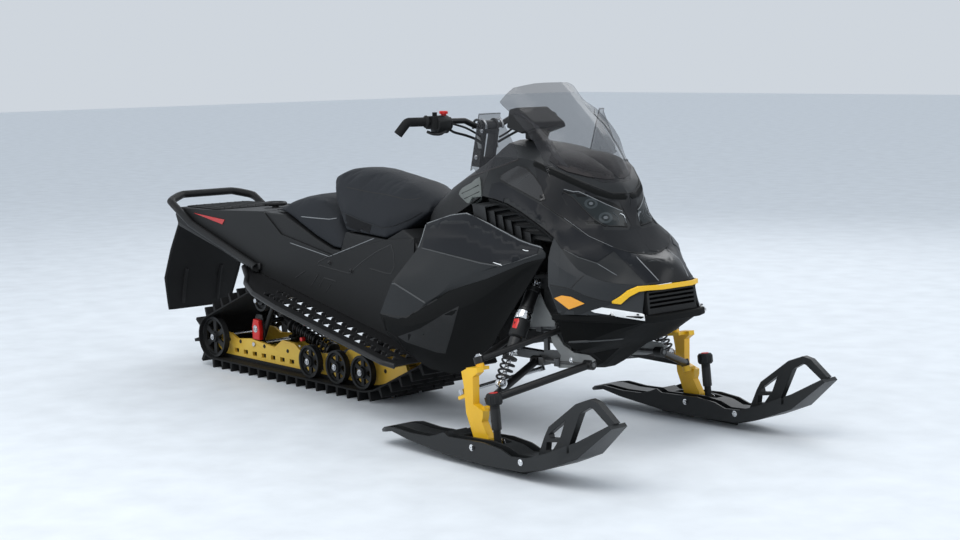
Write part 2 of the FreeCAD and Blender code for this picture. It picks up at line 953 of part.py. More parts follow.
def set_back(grid, wall):
    """Grid behind a panel's outer face, straight toward the middle at its two long edges."""
    inner = []
    last = len(grid) - 1
    for index, row in enumerate(grid):
        line = []
        for spot, point in enumerate(row):
            if spot in (0, len(row) - 1):
                line.append(point - Vector(0, math.copysign(wall, point.y), 0))
                continue
            ahead = grid[min(index + 1, last)][spot] - grid[max(index - 1, 0)][spot]
            normal = ahead.cross(row[spot + 1] - row[spot - 1])
            line.append(point - normal.normalize() * wall)
        inner.append(line)
    return inner


def panel_solid(grid, wall):
    """Panel of one wall behind a grid whose rows run forward and to the left or up."""
    inner = set_back(grid, wall)
    return skin([row + list(reversed(back)) for row, back in zip(grid, inner)])


def full_row(half):
    """Both sides of a section given as (x, y, z) from the middle outward."""
    right = [Vector(x, -y, z) for x, y, z in reversed(half[1:])]
    return right + [Vector(x, y, z) for x, y, z in half]


# Front body

# Way from a lens corner's column to its end on each side of the face
LENS_REACH = 60

# Hood and cowl stations, each from the middle outward as (x, y, z):
# centre, ridge, shoulder, seam, flank, crease, edge
HOOD_ROWS = (
    ((692, 0, 1086), (692, 110, 1074), (692, 184, 1026), (692, 218, 966), (692, 232, 938),
     (692, 242, 912), (692, 249, 890)),
    ((850, 0, 1062), (850, 120, 1056), (852, 194, 1029), (865, 243, 942), (860, 256, 915),
     (856, 264, 892), (850, 268, 872)),
    ((1000, 0, 1018), (1000, 110, 1016), (1004, 190, 1003), (1006, 251, 881), (1006, 263, 857),
     (1006, 274, 836), (1000, 277, 818)),
    ((1120, 0, 966), (1105, 85, 966), (1080, 152, 964), (1053, 224, 845), (1060, 240, 814),
     (1070, 252, 789), (1085, 265, 766)),
    ((1188, 0, 905), (1172, 52, 904), (1138, 116, 929), (1094, 201, 818), (1102, 231, 779),
     (1128, 266, 743), (1136, 277, 728)),
    ((1196, 0, 850), (1190, 50, 862), (1164, 110, 861), (1130, 186, 794), (1164, 230, 750),
     (1190, 252, 712), (1200, 264, 664)),
    ((1218, 0, 788), (1217, 40, 788), (1212, 98, 790), (1228, 166, 751), (1240, 192, 712),
     (1248, 208, 672), (1254, 226, 632)),
    ((1300, 0, 702), (1298, 40, 705), (1291, 66, 709), (1283, 83, 712), (1297, 142, 692),
     (1298, 170, 643), (1304, 186, 617)),
    ((1362, 0, 690), (1358, 40, 688), (1350, 66, 685), (1340, 88, 682), (1334, 128, 664),
     (1332, 150, 632), (1334, 166, 615)),
    ((1396, 0, 658), (1391, 40, 656), (1384, 62, 654), (1374, 83, 651), (1364, 118, 638),
     (1358, 136, 622), (1356, 148, 613)),
    ((1409, 0, 614), (1409, 40, 614), (1408, 62, 614.5), (1406, 78, 615), (1398, 104, 614.5),
     (1390, 118, 613.2), (1383, 126, 612)),
)
# Sharp lines of the full section: crease, seam, shoulder, and the same on the other side
HOOD_CREASES = (1, 3, 4, 8, 9, 11)
# Station where the mask ends above the nose
HOOD_BEND = 7


def hood_grid():
    return fine_grid([full_row(row) for row in HOOD_ROWS], HOOD_CREASES, (HOOD_BEND,), 2, 2)


def body_block(lift):
    """Solid below the outer face of hood and cowl, raised by a clearance."""
    sections = []
    for line in hood_grid():
        top = [point + Vector(0, 0, lift) for point in line]
        base = [Vector(point.x, point.y, 300) for point in reversed(line)]
        sections.append(top + base)
    return skin(sections)


def make_hood():
    opening = lens_prism(size("seam_gap"))
    hood = panel_solid(hood_grid(), size("panel_wall"))
    feature("hood", hood.cut([opening, mirrored(opening)]))


# Cheek stations below the hood's edge, each from the top down as (x, y, z)
CHEEK_ROWS = (
    ((1085, 265, 765.6), (1090, 297, 700), (1099, 308, 603), (1139, 300, 510)),
    ((1136, 277, 727.6), (1142, 299, 672), (1158, 304, 600), (1180, 296, 510)),
    ((1200, 264, 663.6), (1204, 276, 640), (1212, 288, 590), (1225, 276, 510)),
    ((1254, 226, 631.6), (1258, 234, 612), (1262, 246, 568), (1272, 244, 510)),
    ((1304, 186, 616.6), (1302, 188, 598), (1300, 192, 556), (1310, 202, 510)),
    ((1334, 166, 614.6), (1333, 165, 594), (1334, 170, 554), (1344, 180, 510)),
    ((1356, 148, 612.6), (1357, 148, 592), (1360, 154, 552), (1368, 162, 510)),
    ((1383, 126, 611.4), (1384, 128, 592), (1386, 136, 552), (1390, 148, 510)),
)


def right_grid(rows, creases, bends=(), along=2, across=2):
    """Grid of a right side panel from rows of (x, y, z) that run from the top down."""
    stations = [[Vector(x, -y, z) for x, y, z in reversed(row)] for row in rows]
    return fine_grid(stations, creases, bends, along, across)


def make_cheeks():
    grid = right_grid(CHEEK_ROWS, (1,))
    feature("cheeks", both_sides(panel_solid(grid, size("panel_wall"))))


def make_grille():
    """Slatted nose opening between the cheeks."""
    frame = prism_y([(1352, 510), (1398, 510), (1390, 588), (1352, 588)], -122, 122)
    cuts = []
    for index in range(4):
        z = 530 + 15 * index
        cuts.append(prism_y([(1364, z), (1410, z), (1410, z + 8), (1364, z + 8)], -112, 112))
    feature("grille", frame.cut(cuts))


def make_front_bumper():
    plan = [
        (1120, 316),
        (1244, 262),
        (1404, 160),
        (1424, 112),
        (1424, -112),
        (1404, -160),
        (1244, -262),
        (1120, -316),
        (1120, -292),
        (1236, -238),
        (1390, -140),
        (1390, 140),
        (1236, 238),
        (1120, 292),
    ]
    bumper = pad_body("front_bumper", "XY_Plane", plan, "Sizes.bumper_height")
    bind(bumper, Placement__Base__z="Sizes.bumper_z")
    doc.recompute()
    node("front_bumper", bumper)


# Trim stations: x, y, z of the middle line, half height
TRIM_ROWS = (
    (1297, 198, 553, 4),
    (1316, 182, 559, 13),
    (1340, 164, 584, 11.5),
    (1366, 144, 600, 9.5),
    (1390, 126, 603.5, 8.4),
    (1410, 74, 603.5, 8.4),
)


def make_nose_trim():
    depth = 9
    proud = 0.8
    half = []
    for x, y, z, tall in TRIM_ROWS:
        half.append([
            Vector(x + proud, -y - proud, z - tall),
            Vector(x + proud + depth, -y - proud, z - tall),
            Vector(x + proud + depth, -y - proud, z + tall),
            Vector(x + proud, -y - proud, z + tall),
        ])
    right = skin(half)
    left = mirrored(right)
    x, y, z, tall = TRIM_ROWS[-1]
    low = z - tall
    high = z + tall
    back = x + proud
    profile = [(back, low), (back + depth, low), (back + depth, high), (back, high)]
    middle = prism_y(profile, -y - proud, y + proud)
    feature("nose_trim", fused([right, middle, left]))


# Headlight lens corners on the hood's face: x, y, z
LENS_CORNERS = (
    (1067, 208, 936), (1127, 159, 918), (1178, 66, 878), (1192, 32, 850),
    (1217, 34, 790), (1188, 96, 790), (1166, 172, 822), (1118, 196, 884),
)


LENS_WAY = Vector(0.75, -0.45, 0.48).normalize()
LENS_DEPTH = 14


def lens_prism(grow):
    """Column through the hood's face inside the lens outline, or its grown opening."""
    middle = Vector(0, 0, 0)
    for x, y, z in LENS_CORNERS:
        middle += Vector(x, -y, z) * (1 / len(LENS_CORNERS))
    rim = []
    for x, y, z in LENS_CORNERS:
        point = Vector(x, -y, z) - middle
        rim.append(middle + point - LENS_WAY * (point.dot(LENS_WAY) + LENS_REACH))
    face = Part.Face(closed_wire(rim))
    if grow:
        face = face.makeOffset2D(grow, join=2)
    return face.extrude(LENS_WAY * LENS_REACH * 2)


def make_headlights():
    block = panel_solid(hood_grid(), LENS_DEPTH)
    feature("headlights", both_sides(block.common(lens_prism(0))))


# Belly sections: x, then (y, z) from the keel outward and up to the bumper
BELLY_ROWS = (
    (1388, ((70, 478), (100, 479), (116, 480), (126, 481), (134, 482), (142, 484))),
    (1300, ((50, 410), (80, 414), (130, 424), (165, 438), (188, 454), (202, 484))),
    (1210, ((44, 366), (70, 369), (124, 377), (190, 389), (232, 410), (256, 484))),
    (1122, ((40, 298), (62, 305), (115, 345), (190, 360), (258, 402), (290, 484))),
    (1092, ((26, 278), (62, 290), (112, 338), (138, 350), (156, 374), (164, 400))),
    (1046.3, ((26, 272), (58, 276), (80, 298), (102, 330), (114, 360), (122, 392))),
)


def make_belly_pan():
    wall = size("panel_wall")
    sections = []
    for x, outer in BELLY_ROWS:
        inner = [(y - wall, z + wall) for y, z in outer[:-1]]
        inner.append((outer[-1][0] - wall, outer[-1][1]))
        ring = [(-y, z) for y, z in reversed(outer)] + list(outer)
        back = list(reversed([(-y, z) for y, z in reversed(inner)] + inner))
        sections.append([Vector(x, y, z) for y, z in ring + back])
    feature("belly_pan", skin(sections))


# Side panel stations from the rear forward, each from the top down as (x, y, z):
# top edge, rim of the dish, dish, main crease, lower ridge, seam
SIDE_ROWS = (
    ((432, 300, 774), (431, 316, 746), (430, 322, 722),
     (426, 338, 685), (327, 385, 556), (250, 386, 428)),
    ((519, 290, 803), (532, 307, 784), (552, 314, 735),
     (556, 346, 683), (400, 382, 529), (353, 380, 417)),
    ((638, 280, 825), (652, 302, 798), (676, 308, 735),
     (682, 352, 674), (503, 372, 490), (470, 369, 462)),
    ((759, 292, 798), (772, 312, 772), (794, 320, 712),
     (797, 354, 664), (626, 362, 561), (618, 356, 544)),
    ((852, 300, 781), (872, 318, 754), (890, 324, 702),
     (886, 347, 660), (796, 352, 631), (814, 345, 604)),
    ((982, 304, 747), (992, 317, 726), (1000, 319, 706),
     (1000, 328, 692), (992, 326, 683), (1000, 322, 676)),
    ((1055, 303, 737), (1066, 305, 729), (1076, 305, 720),
     (1083, 304, 712), (1082, 303, 704), (1077, 302, 697)),
)
SIDE_CREASES = (1, 2, 4)

# Lower panel stations, each from the seam down as (x, y, z)
LOWER_ROWS = (
    ((250, 386, 427.5), (258, 388, 414), (264, 388, 402), (272, 386, 388)),
    ((353, 380, 416.5), (340, 389, 395), (318, 389, 372), (292, 386, 352)),
    ((470, 369, 461.5), (440, 388, 400), (410, 380, 330), (372, 368, 304)),
    ((618, 356, 543.5), (590, 374, 450), (545, 352, 330), (480, 334, 236)),
    ((814, 345, 603.5), (770, 354, 520), (705, 336, 400), (667, 300, 248)),
    ((1000, 322, 675.5), (985, 325, 650), (965, 322, 620), (930, 319, 505)),
    ((1077, 302, 696.5), (1072, 303, 690), (1067, 303, 684), (1060, 304, 676)),
)


def make_side_panels():
    wall = size("panel_wall")
    side = right_grid(SIDE_ROWS, SIDE_CREASES)
    feature("side_panels", both_sides(panel_solid(side, wall)))
    lower = right_grid(LOWER_ROWS, ())
    feature("lower_panels", both_sides(panel_solid(lower, wall)))


def point_at(line, x):
    """y and z of a line of (x, y, z) points where it passes x."""
    for (ax, ay, az), (bx, by, bz) in zip(line, line[1:]):
        if ax <= x <= bx:
            share = (x - ax) / (bx - ax)
            return ay + share * (by - ay), az + share * (bz - az)
    raise ValueError("no point at %g" % x)


# Louvre vanes between the hood's edge and the side panel's top edge
LOUVRE_COUNT = 6
LOUVRE_REAR = 742
LOUVRE_FIRST = 845
LOUVRE_PITCH = 47.5
LOUVRE_APEX_BACK = 85
LOUVRE_PANEL_BACK = 72
LOUVRE_STEP = 17
LOUVRE_WALL = 5


def louvre_line(x):
    """Chevron across the strip that leaves the hood's edge at x: hood edge, apex, panel edge."""
    gap = size("running_gap")
    hood_edge = [tuple(v) for v in (row[0] for row in hood_grid())]
    panel_edge = [tuple(row[-1]) for row in right_grid(SIDE_ROWS, SIDE_CREASES)]
    y, z = point_at(hood_edge, x)
    start = Vector(x, y - gap, z)
    px = x - LOUVRE_PANEL_BACK
    py, pz = point_at(panel_edge, px)
    end = Vector(px, py + size("panel_wall") + gap, pz)
    ax = x - LOUVRE_APEX_BACK
    apex = Vector(ax, (start.y + end.y) / 2 - 8, (start.z + end.z) / 2 + 20)
    return [start, apex, end]


def make_hood_louvres():
    sunk = Vector(0, LOUVRE_STEP * 0.5, -LOUVRE_STEP * 0.85)
    thick = Vector(0, LOUVRE_WALL * 0.5, -LOUVRE_WALL * 0.85)
    places = [LOUVRE_REAR] + [LOUVRE_FIRST + LOUVRE_PITCH * index for index in range(LOUVRE_COUNT)]
    lines = [louvre_line(x) for x in places]
    pieces = []
    for rear, front in zip(lines, lines[1:]):
        sections = []
        for a, b in zip(rear, front):
            lip = b - (b - a) * 0.12
            sections.append([a + sunk, lip, lip + thick, a + sunk + thick])
        pieces.append(skin(sections))
    sheet_rows = []
    for line in lines:
        face = [point + sunk + thick * 0.9 for point in line]
        back = [point + sunk + thick * 1.9 for point in reversed(line)]
        sheet_rows.append(face + back)
    pieces.append(skin(sheet_rows))
    for spot in (0, 2):
        side = Vector(0, -9, 0) if spot == 0 else Vector(0, 7, 0)
        sections = []
        for line in lines:
            top = line[spot] + sunk * 0.2
            low = line[spot] + sunk + thick * 1.6
            sections.append([top, low, low + side, top + side])
        pieces.append(skin(sections))
    feature("hood_louvres", both_sides(fused(pieces)))


# Rise that leaves the screens about 0.3 off the sloping body
SEAT_LIFT = 0.4

# Windshield stations from the base up, each from the middle outward as (x, y, z):
# middle, bulge, crease, wing, edge
SCREEN_ROWS = (
    ((1206, 0, 862), (1190, 50, 868), (1158, 96, 896), (1090, 160, 930), (1010, 208, 960)),
    ((1136, 0, 962), (1112, 84, 966), (1059, 141, 980), (1014, 176, 1000), (972, 205, 1032)),
    ((1056, 0, 1064), (1036, 92, 1064), (972, 167, 1062), (958, 192, 1070), (942, 212, 1085)),
    ((984, 0, 1142), (964, 98, 1140), (904, 179, 1130), (894, 200, 1134), (884, 218, 1142)),
    ((912, 0, 1206), (892, 96, 1203), (830, 171, 1187), (822, 196, 1190), (814, 216, 1195)),
    ((856, 0, 1258), (838, 92, 1256), (787, 162, 1242), (778, 186, 1230), (772, 209, 1216)),
    ((816, 0, 1294), (802, 84, 1292), (765, 152, 1278), (757, 180, 1256), (751, 205, 1230)),
)
SCREEN_CREASES = (2, 6)


def make_windshield():
    grid = fine_grid([full_row(row) for row in SCREEN_ROWS], SCREEN_CREASES, (), 2, 2)
    wall = Vector(-size("screen_wall"), 0, -size("screen_wall") * 0.4)
    sections = [row + [point + wall for point in reversed(row)] for row in grid]
    screen = skin(sections).cut(body_block(SEAT_LIFT))
    feature("windshield", max(screen.Solids, key=lambda solid: solid.Volume))


def make_wind_deflectors():
    wall = size("screen_wall")
    corners = [(684, 300, 980), (746, 306, 1190), (812, 262, 1196), (952, 238, 925)]
    outer = [Vector(x, -y, z) for x, y, z in corners]
    inner = [Vector(x, -y + wall, z) for x, y, z in corners]
    pane = skin([outer, inner]).cut(body_block(SEAT_LIFT))
    feature("wind_deflectors", both_sides(pane))


def make_engine():
    block = doc.addObject("Part::Box", "engine_block")
    bind(block, Length="Sizes.engine_length", Width="Sizes.engine_width", Height="Sizes.engine_height")
    bind(
        block,
        Placement__Base__x="Sizes.engine_x",
        Placement__Base__y="-Sizes.engine_width / 2",
        Placement__Base__z="Sizes.engine_z",
    )
    doc.recompute()
    node("engine", block)


# Front frame and suspension

# Shafts that the suspension arms swing on: name, rear end, front end, radius
ARM_SHAFTS = (
    ("lower", (900, -180, 300), (1169, -180, 318), 8),
    ("upper", (860, -190, 420), (1060, -190, 436), 7),
)


def make_front_module():
    """Cast frame behind the nose: two side webs joined by cross members."""
    web = [
        (920, 300),
        (1000, 296),
        (1050, 330),
        (1040, 440),
        (1000, 620),
        (925, 620),
        (918, 440),
    ]
    plate = prism_y(web, 150, 162)
    hole = prism_y([(940, 340), (1010, 345), (1000, 420), (940, 420)], 149, 163)
    plate = plate.cut(hole)
    rear = 359.5
    cradle = prism_y([(rear, 290), (925, 300), (925, 330), (rear, 330)], 130, 162)
    beams = [
        prism_y([(925, 600), (1000, 600), (1000, 620), (925, 620)], -162, 162),
        prism_y([(1000, 300), (1046, 330), (1040, 345), (1000, 316)], -162, 162),
        prism_y([(903, 560), (930, 560), (930, 620), (903, 620)], -162, 162),
        prism_y([(925, 607.3), (965, 607.3), (965, 620), (925, 620)], -240, 240),
    ]
    sides = [plate, cradle]
    for _, start, end, radius in ARM_SHAFTS:
        low = Vector(*start)
        high = Vector(*end)
        way = (high - low).normalize()
        sides.append(rod(low - way * 22, high + way * 22, radius))
        for x in (935, 1015):
            spot = low + way * ((x - low.x) / way.x)
            ear = upright(x, spot.z, 12, 14)
            sides.append(prism_y(ear, spot.y - 13, -155))
    sides = [mirrored(side) if side.BoundBox.YMin > 0 else side for side in sides]
    beams += sides + [mirrored(side) for side in sides]
    feature("front_module", fused(beams))


def king_top():
    return Vector(size("kingpin_top_x"), -size("kingpin_y"), size("kingpin_top_z"))


def king_low():
    return Vector(size("kingpin_low_x"), -size("kingpin_y"), size("kingpin_low_z"))


def king_way():
    return (king_top() - king_low()).normalize()


def eye(center, way, height):
    return rod(center - way * height / 2, center + way * height / 2, size("ball_eye"))


def arm_solid(joint, shaft, radius):
    way = king_way()
    _, rear, front, shaft_radius = shaft
    rear = Vector(*rear)
    front = Vector(*front)
    along = (front - rear).normalize()
    pieces = [eye(joint, way, 24)]
    for point in (rear, front):
        pieces.append(rod(joint, point, radius))
        pieces.append(rod(point - along * 18, point + along * 18, radius + 4))
    arm = fused(pieces)
    gap = size("running_gap")
    arm = arm.cut(rod(joint - way * 20, joint + way * 20, size("ball_pin") + gap))
    return arm.cut(rod(rear - along * 40, front + along * 40, shaft_radius + gap))


def make_arms():
    lower = arm_solid(king_low(), ARM_SHAFTS[0], size("arm_tube"))
    upper = arm_solid(king_top(), ARM_SHAFTS[1], size("upper_tube"))
    feature("lower_arms", both_sides(lower))
    feature("upper_arms", both_sides(upper))


def make_front_shocks():
    top = Vector(945, -225, 592)
    low = Vector(985, -430, 261.8)
    way = (top - low).normalize()
    length = (top - low).Length
    radius = size("shock_radius")
    pieces = [
        rod(low + way * length * 0.48, top - way * 14, radius),
        rod(low, top - way * 20, 8),
        rod(low + way * length * 0.50, low + way * length * 0.56, radius + 4),
        rod(top - Vector(14, 0, 0), top + Vector(14, 0, 0), 15),
        rod(low - Vector(12, 0, 0), low + Vector(12, 0, 0), 13),
    ]
    feature("front_shocks", both_sides(fused(pieces)))


def spindle_leg():
    """Cast leg from the upper ball down to the ski bolt, and the plate under that ball."""
    half = size("leg_width") / 2
    center = -size("ski_y")
    outline = [
        (918, 312),
        (955, 330),
        (1000, 334),
        (1003, 318),
        (978, 300),
        (978, 205),
        (1028, 188),
        (1028, 168),
        (1022, 150),
        (1056, 96),
        (1056, 60),
        (1026, 56),
        (978, 88),
        (940, 170),
        (930, 262),
    ]
    leg = prism_y(outline, center - half, center + half)
    plate_top = prism_y([(928, 312), (985, 320), (985, 332), (926, 324)], center, -size("kingpin_y") + 16)
    return leg, plate_top


def make_spindles():
    way = king_way()
    top = king_top()
    low = king_low()
    half = size("leg_width") / 2
    center = -size("ski_y")
    leg, plate_top = spindle_leg()
    studs = [
        rod(top - way * 30, top + way * 13, size("ball_pin")),
        rod(low - way * 34, low + way * 14, size("ball_pin")),
    ]
    bosses = [
        rod(top - way * 32, top - way * 13, 15),
        rod(low - way * 36, low - way * 15, 15),
    ]
    low_boss = low - way * 25
    lug = rod(low_boss, Vector(low_boss.x, center, low_boss.z), 9)
    tie = Vector(size("tie_x"), center, size("tie_z"))
    across = Vector(way.z, 0, -way.x)
    corners = [(-13, -24), (50, -24), (50, -12), (-13, -12)]
    points = [tie + across * ahead + way * up for ahead, up in corners]
    arm = prism_y([(p.x, p.z) for p in points], center - half, center + half)
    tie_stud = rod(tie - way * 18, tie + way * 10, 5)
    bolt_hole = rod(
        Vector(size("ski_pivot_x"), center - 40, size("ski_pivot_z")),
        Vector(size("ski_pivot_x"), center + 40, size("ski_pivot_z")),
        size("ski_bolt") + size("running_gap"),
    )
    body = fused([leg, plate_top, lug, arm, tie_stud] + studs + bosses).cut(bolt_hole)
    feature("spindle_right", body)
    feature("spindle_left", mirrored(body))


def make_tie_rods():
    outer = Vector(size("tie_x"), -size("ski_y"), size("tie_z"))
    inner = Vector(862, -120, 258)
    way = king_way()
    shaft = rod(outer, inner, size("tie_tube"))
    end = rod(outer - way * 9, outer + way * 9, 13)
    bore = rod(outer - way * 20, outer + way * 20, 5 + size("running_gap"))
    tip = rod(inner - way * 9, inner + way * 9, 12)
    hole = rod(inner - way * 20, inner + way * 20, 5)
    rod_right = fused([shaft, end, tip]).cut([bore, hole])
    feature("tie_rod_right", rod_right)
    feature("tie_rod_left", mirrored(rod_right))


# Ski side outline, tail to tip along the top and back below: x, z
SKI_TOP = (
    (512, 51), (540, 66), (600, 76), (700, 70), (800, 74), (850, 88), (884, 102),
    (910, 90), (960, 92), (1090, 98), (1180, 90), (1230, 74), (1300, 78), (1400, 112),
    (1530, 168), (1650, 236),
)
SKI_BASE = (
    (1662, 226), (1600, 172), (1530, 112), (1400, 58), (1280, 29), (1100, 21), (900, 24),
    (690, 44), (595, 60), (520, 44),
)


def make_skis():
    center = -size("ski_y")
    half = size("ski_width") / 2
    blade = prism_y(list(SKI_TOP) + list(SKI_BASE), center - half, center + half)
    plan = [
        (505, center - 50), (560, center - half), (1450, center - half), (1664, center - 36),
        (1664, center + 36), (1450, center + half), (560, center + half), (505, center + 50),
    ]
    blade = blade.common(prism_z(plan, 0, 300))
    saddle = size("leg_width") / 2 + size("saddle_gap")
    pocket = prism_y(
        [(930, 48), (1140, 48), (1140, 130), (930, 130)],
        center - saddle,
        center + saddle,
    )
    wells = []
    for side in (-1, 1):
        low = center + side * 34
        high = center + side * (half - 7)
        wells.append(prism_y(
            [(560, 64), (690, 54), (900, 40), (1200, 40), (1270, 46), (1400, 80), (1500, 130),
             (1500, 190), (1200, 130), (560, 130)],
            min(low, high),
            max(low, high),
        ))
    keel = prism_y(
        [(640, 40), (800, 12), (1240, 8), (1330, 34), (1300, 40), (1100, 30), (900, 34)],
        center - 17,
        center + 17,
    )
    runner = rod(Vector(850, center, 5), Vector(1230, center, 5), 5)
    bolt = rod(
        Vector(size("ski_pivot_x"), center - half - 3, size("ski_pivot_z")),
        Vector(size("ski_pivot_x"), center + half + 3, size("ski_pivot_z")),
        size("ski_bolt"),
    )
    shim = prism_y([(850, 5), (1230, 5), (1230, 16), (850, 16)], center - 4, center + 4)
    ski = fused([blade.cut([pocket] + wells), keel, runner, shim, bolt])
    feature("ski_right", ski)
    feature("ski_left", mirrored(ski))


def make_ski_handles():
    center = -size("ski_y")
    half = size("handle_width") / 2
    outline = [
        (1300, 78.3), (1332, 150), (1351, 183), (1479, 278), (1544, 303), (1580, 296),
        (1655, 240), (1630, 225.3), (1560, 272), (1545, 276), (1500, 250), (1446, 132.3), (1400, 112.3),
    ]
    plate = prism_y(outline, center - half, center + half)
    windows = [
        [(1342, 130), (1392, 138), (1368, 106), (1338, 102)],
        [(1352, 158), (1430, 216), (1404, 152), (1356, 146)],
    ]
    cuts = [prism_y(w, center - half - 1, center + half + 1) for w in windows]
    handle = plate.cut(cuts)
    feature("ski_handle_right", handle)
    feature("ski_handle_left", mirrored(handle))


def make_ski_adjusters():
    center = -size("ski_y")
    foot = Vector(1092, center, 46)
    head = Vector(1068, center, 255)
    way = (head - foot).normalize()
    length = (head - foot).Length
    pieces = [
        rod(foot + Vector(0, 0, 0), foot + way * length * 0.62, 13),
        rod(foot + way * length * 0.58, head, 17),
    ]
    floor = 48 + size("running_gap")
    below = Part.makeBox(100, 100, 40, Vector(1040, center - 50, floor - 40))
    tower = fused(pieces).cut(below)
    feature("ski_adjuster_right", tower)
    feature("ski_adjuster_left", mirrored(tower))


# Steering

def post_axis():
    tilt = math.radians(size("post_tilt"))
    return Vector(-math.sin(tilt), 0, math.cos(tilt))


def make_steering():
    axis = post_axis()
    base = Vector(size("post_x"), 0, size("post_z"))
    post = rod(base - axis * 40, base + axis * 26, size("post_radius"))
    bar_x = size("bar_x")
    bar_z = size("bar_z")
    riser = prism_y(
        [(395, 975), (440, 972), (bar_x + 20, bar_z - 14), (bar_x - 20, bar_z - 14)],
        -40,
        40,
    )
    riser = riser.cut(prism_y([(300, 1010), (600, 1010), (600, 1100), (300, 1100)], -22, 22))
    clamp = rod(Vector(bar_x, -40, bar_z), Vector(bar_x, 40, bar_z), 20)
    bore = rod(Vector(bar_x, -50, bar_z), Vector(bar_x, 50, bar_z), size("bar_tube") + size("running_gap"))
    feature("steering_post", fused([post, riser, clamp]).cut(bore))
    start = size("grip_start")
    half = [
        Vector(bar_x, 0, bar_z),
        Vector(bar_x, -62, bar_z),
        Vector(bar_x - 2, -115, bar_z + 22),
        Vector(bar_x - 20, -start, bar_z + 24),
    ]
    mirror_half = [Vector(p.x, -p.y, p.z) for p in reversed(half[1:])]
    bar = pipe(mirror_half + half[1:], size("bar_tube"), 26)
    feature("handlebar", bar)


def make_hand_controls():
    bar_x = size("bar_x")
    bar_z = size("bar_z")
    start = size("grip_start")
    radius = size("grip_radius")
    inner = Vector(bar_x - 2, -115, bar_z + 22)
    bar_end = Vector(bar_x - 20, -start, bar_z + 24)
    way = (bar_end - inner).normalize()
    grip = pipe(
        [
            bar_end + way * 0.3,
            bar_end + way * 84,
            Vector(bar_x - 52, -398, bar_z - 20),
        ],
        radius,
        18,
    )
    y = -size("control_y")
    middle = bar_x - 16
    block = prism_y(upright(middle, bar_z + 20, 22, 24), y - 26, y + 26)
    bore = rod(inner, bar_end, size("bar_tube") + size("running_gap"))
    block = block.cut(bore)
    button = rod(Vector(middle, y, bar_z + 44), Vector(middle, y, bar_z + 58), 9)
    pieces = [fused([block, button]), grip]
    feature("hand_controls", Part.makeCompound(pieces + [mirrored(p) for p in pieces]))


def make_side_reflectors():
    side = tunnel_half() + size("panel_wall") + 0.7
    outline = [(-1340, 706), (-1100, 668), (-1080, 690)]
    feature("side_reflectors", both_sides(prism_y(outline, side, side + 3)))


MAKERS = (
    make_track,
    make_wheels,
    make_axles,
    make_rails,
    make_slides,
    make_skid_arms,
    make_skid_shocks,
    make_drive_axle,
    make_tunnel,
    make_running_boards,
    make_grab_bar,
    make_snow_flap,
    make_tail_cover,
    make_side_covers,
    make_side_reflectors,
    make_driver_seat,
    make_passenger_seat,
    make_seat_base,
    make_console,
    make_gauge,
    make_hood,
    make_cheeks,
    make_grille,
    make_front_bumper,
    make_nose_trim,
    make_headlights,
    make_belly_pan,
    make_side_panels,
    make_hood_louvres,
    make_windshield,
    make_wind_deflectors,
    make_engine,
    make_front_module,
    make_arms,
    make_front_shocks,
    make_spindles,
    make_tie_rods,
    make_skis,
    make_ski_handles,
    make_ski_adjusters,
    make_steering,
    make_hand_controls,
)


def check_document():
    for obj in doc.Objects:
        if "Invalid" in obj.State or "Error" in obj.State:
            raise ValueError("%s failed to compute" % obj.Label)
    broken = [name for name, obj in nodes.items() if obj.Shape.isNull() or not obj.Shape.isValid()]
    if broken:
        raise ValueError("no valid shape: %s" % ", ".join(broken))


def export_nodes():
    os.makedirs("parts", exist_ok=True)
    for name, obj in nodes.items():
        obj.Shape.exportStep("parts/%s.step" % name)


fill_sheet()
for make in MAKERS:
    make()
doc.recompute()
check_document()
export_nodes()
print("nodes", len(nodes))
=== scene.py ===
import bpy
import bmesh
import json
import math
from mathutils import Matrix, Vector
from mathutils.bvhtree import BVHTree
from mathutils.geometry import delaunay_2d_cdt

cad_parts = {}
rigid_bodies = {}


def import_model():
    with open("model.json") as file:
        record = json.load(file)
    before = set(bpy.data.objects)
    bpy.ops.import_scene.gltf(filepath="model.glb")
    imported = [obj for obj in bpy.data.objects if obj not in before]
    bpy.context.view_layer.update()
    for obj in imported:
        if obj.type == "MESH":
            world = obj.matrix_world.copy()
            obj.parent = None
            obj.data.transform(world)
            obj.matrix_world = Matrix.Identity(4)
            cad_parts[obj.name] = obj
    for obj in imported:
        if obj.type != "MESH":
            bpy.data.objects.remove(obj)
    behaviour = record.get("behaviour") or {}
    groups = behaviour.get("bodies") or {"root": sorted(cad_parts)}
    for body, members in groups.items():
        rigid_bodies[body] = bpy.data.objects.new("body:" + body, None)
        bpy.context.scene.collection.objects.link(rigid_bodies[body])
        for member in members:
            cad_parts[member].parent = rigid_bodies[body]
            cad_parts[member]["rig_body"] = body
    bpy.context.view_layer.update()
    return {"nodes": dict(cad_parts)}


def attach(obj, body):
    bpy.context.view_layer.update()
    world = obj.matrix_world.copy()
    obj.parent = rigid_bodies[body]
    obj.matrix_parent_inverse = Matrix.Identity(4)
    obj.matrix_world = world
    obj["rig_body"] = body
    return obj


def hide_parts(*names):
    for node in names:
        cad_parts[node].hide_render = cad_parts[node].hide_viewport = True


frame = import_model()
NODES = frame["nodes"]
TREES = {}
SURFACES = {name: node.data for name, node in NODES.items()}
FINISHES = {}
MM = 0.001
SIDES = ((-1, "right"), (1, "left"))

# Camera of the photograph, in metres and radians of the frame
CAMERA_PLACE = Vector((5.3454, -4.3332, 1.3966))
CAMERA_YAW = 2.4230
CAMERA_PITCH = -0.1251
CAMERA_ROLL = -0.0160
FOCAL_PIXELS = 1708.6
FRAME_SIZE = (960, 540)
SENSOR_MM = 36.0


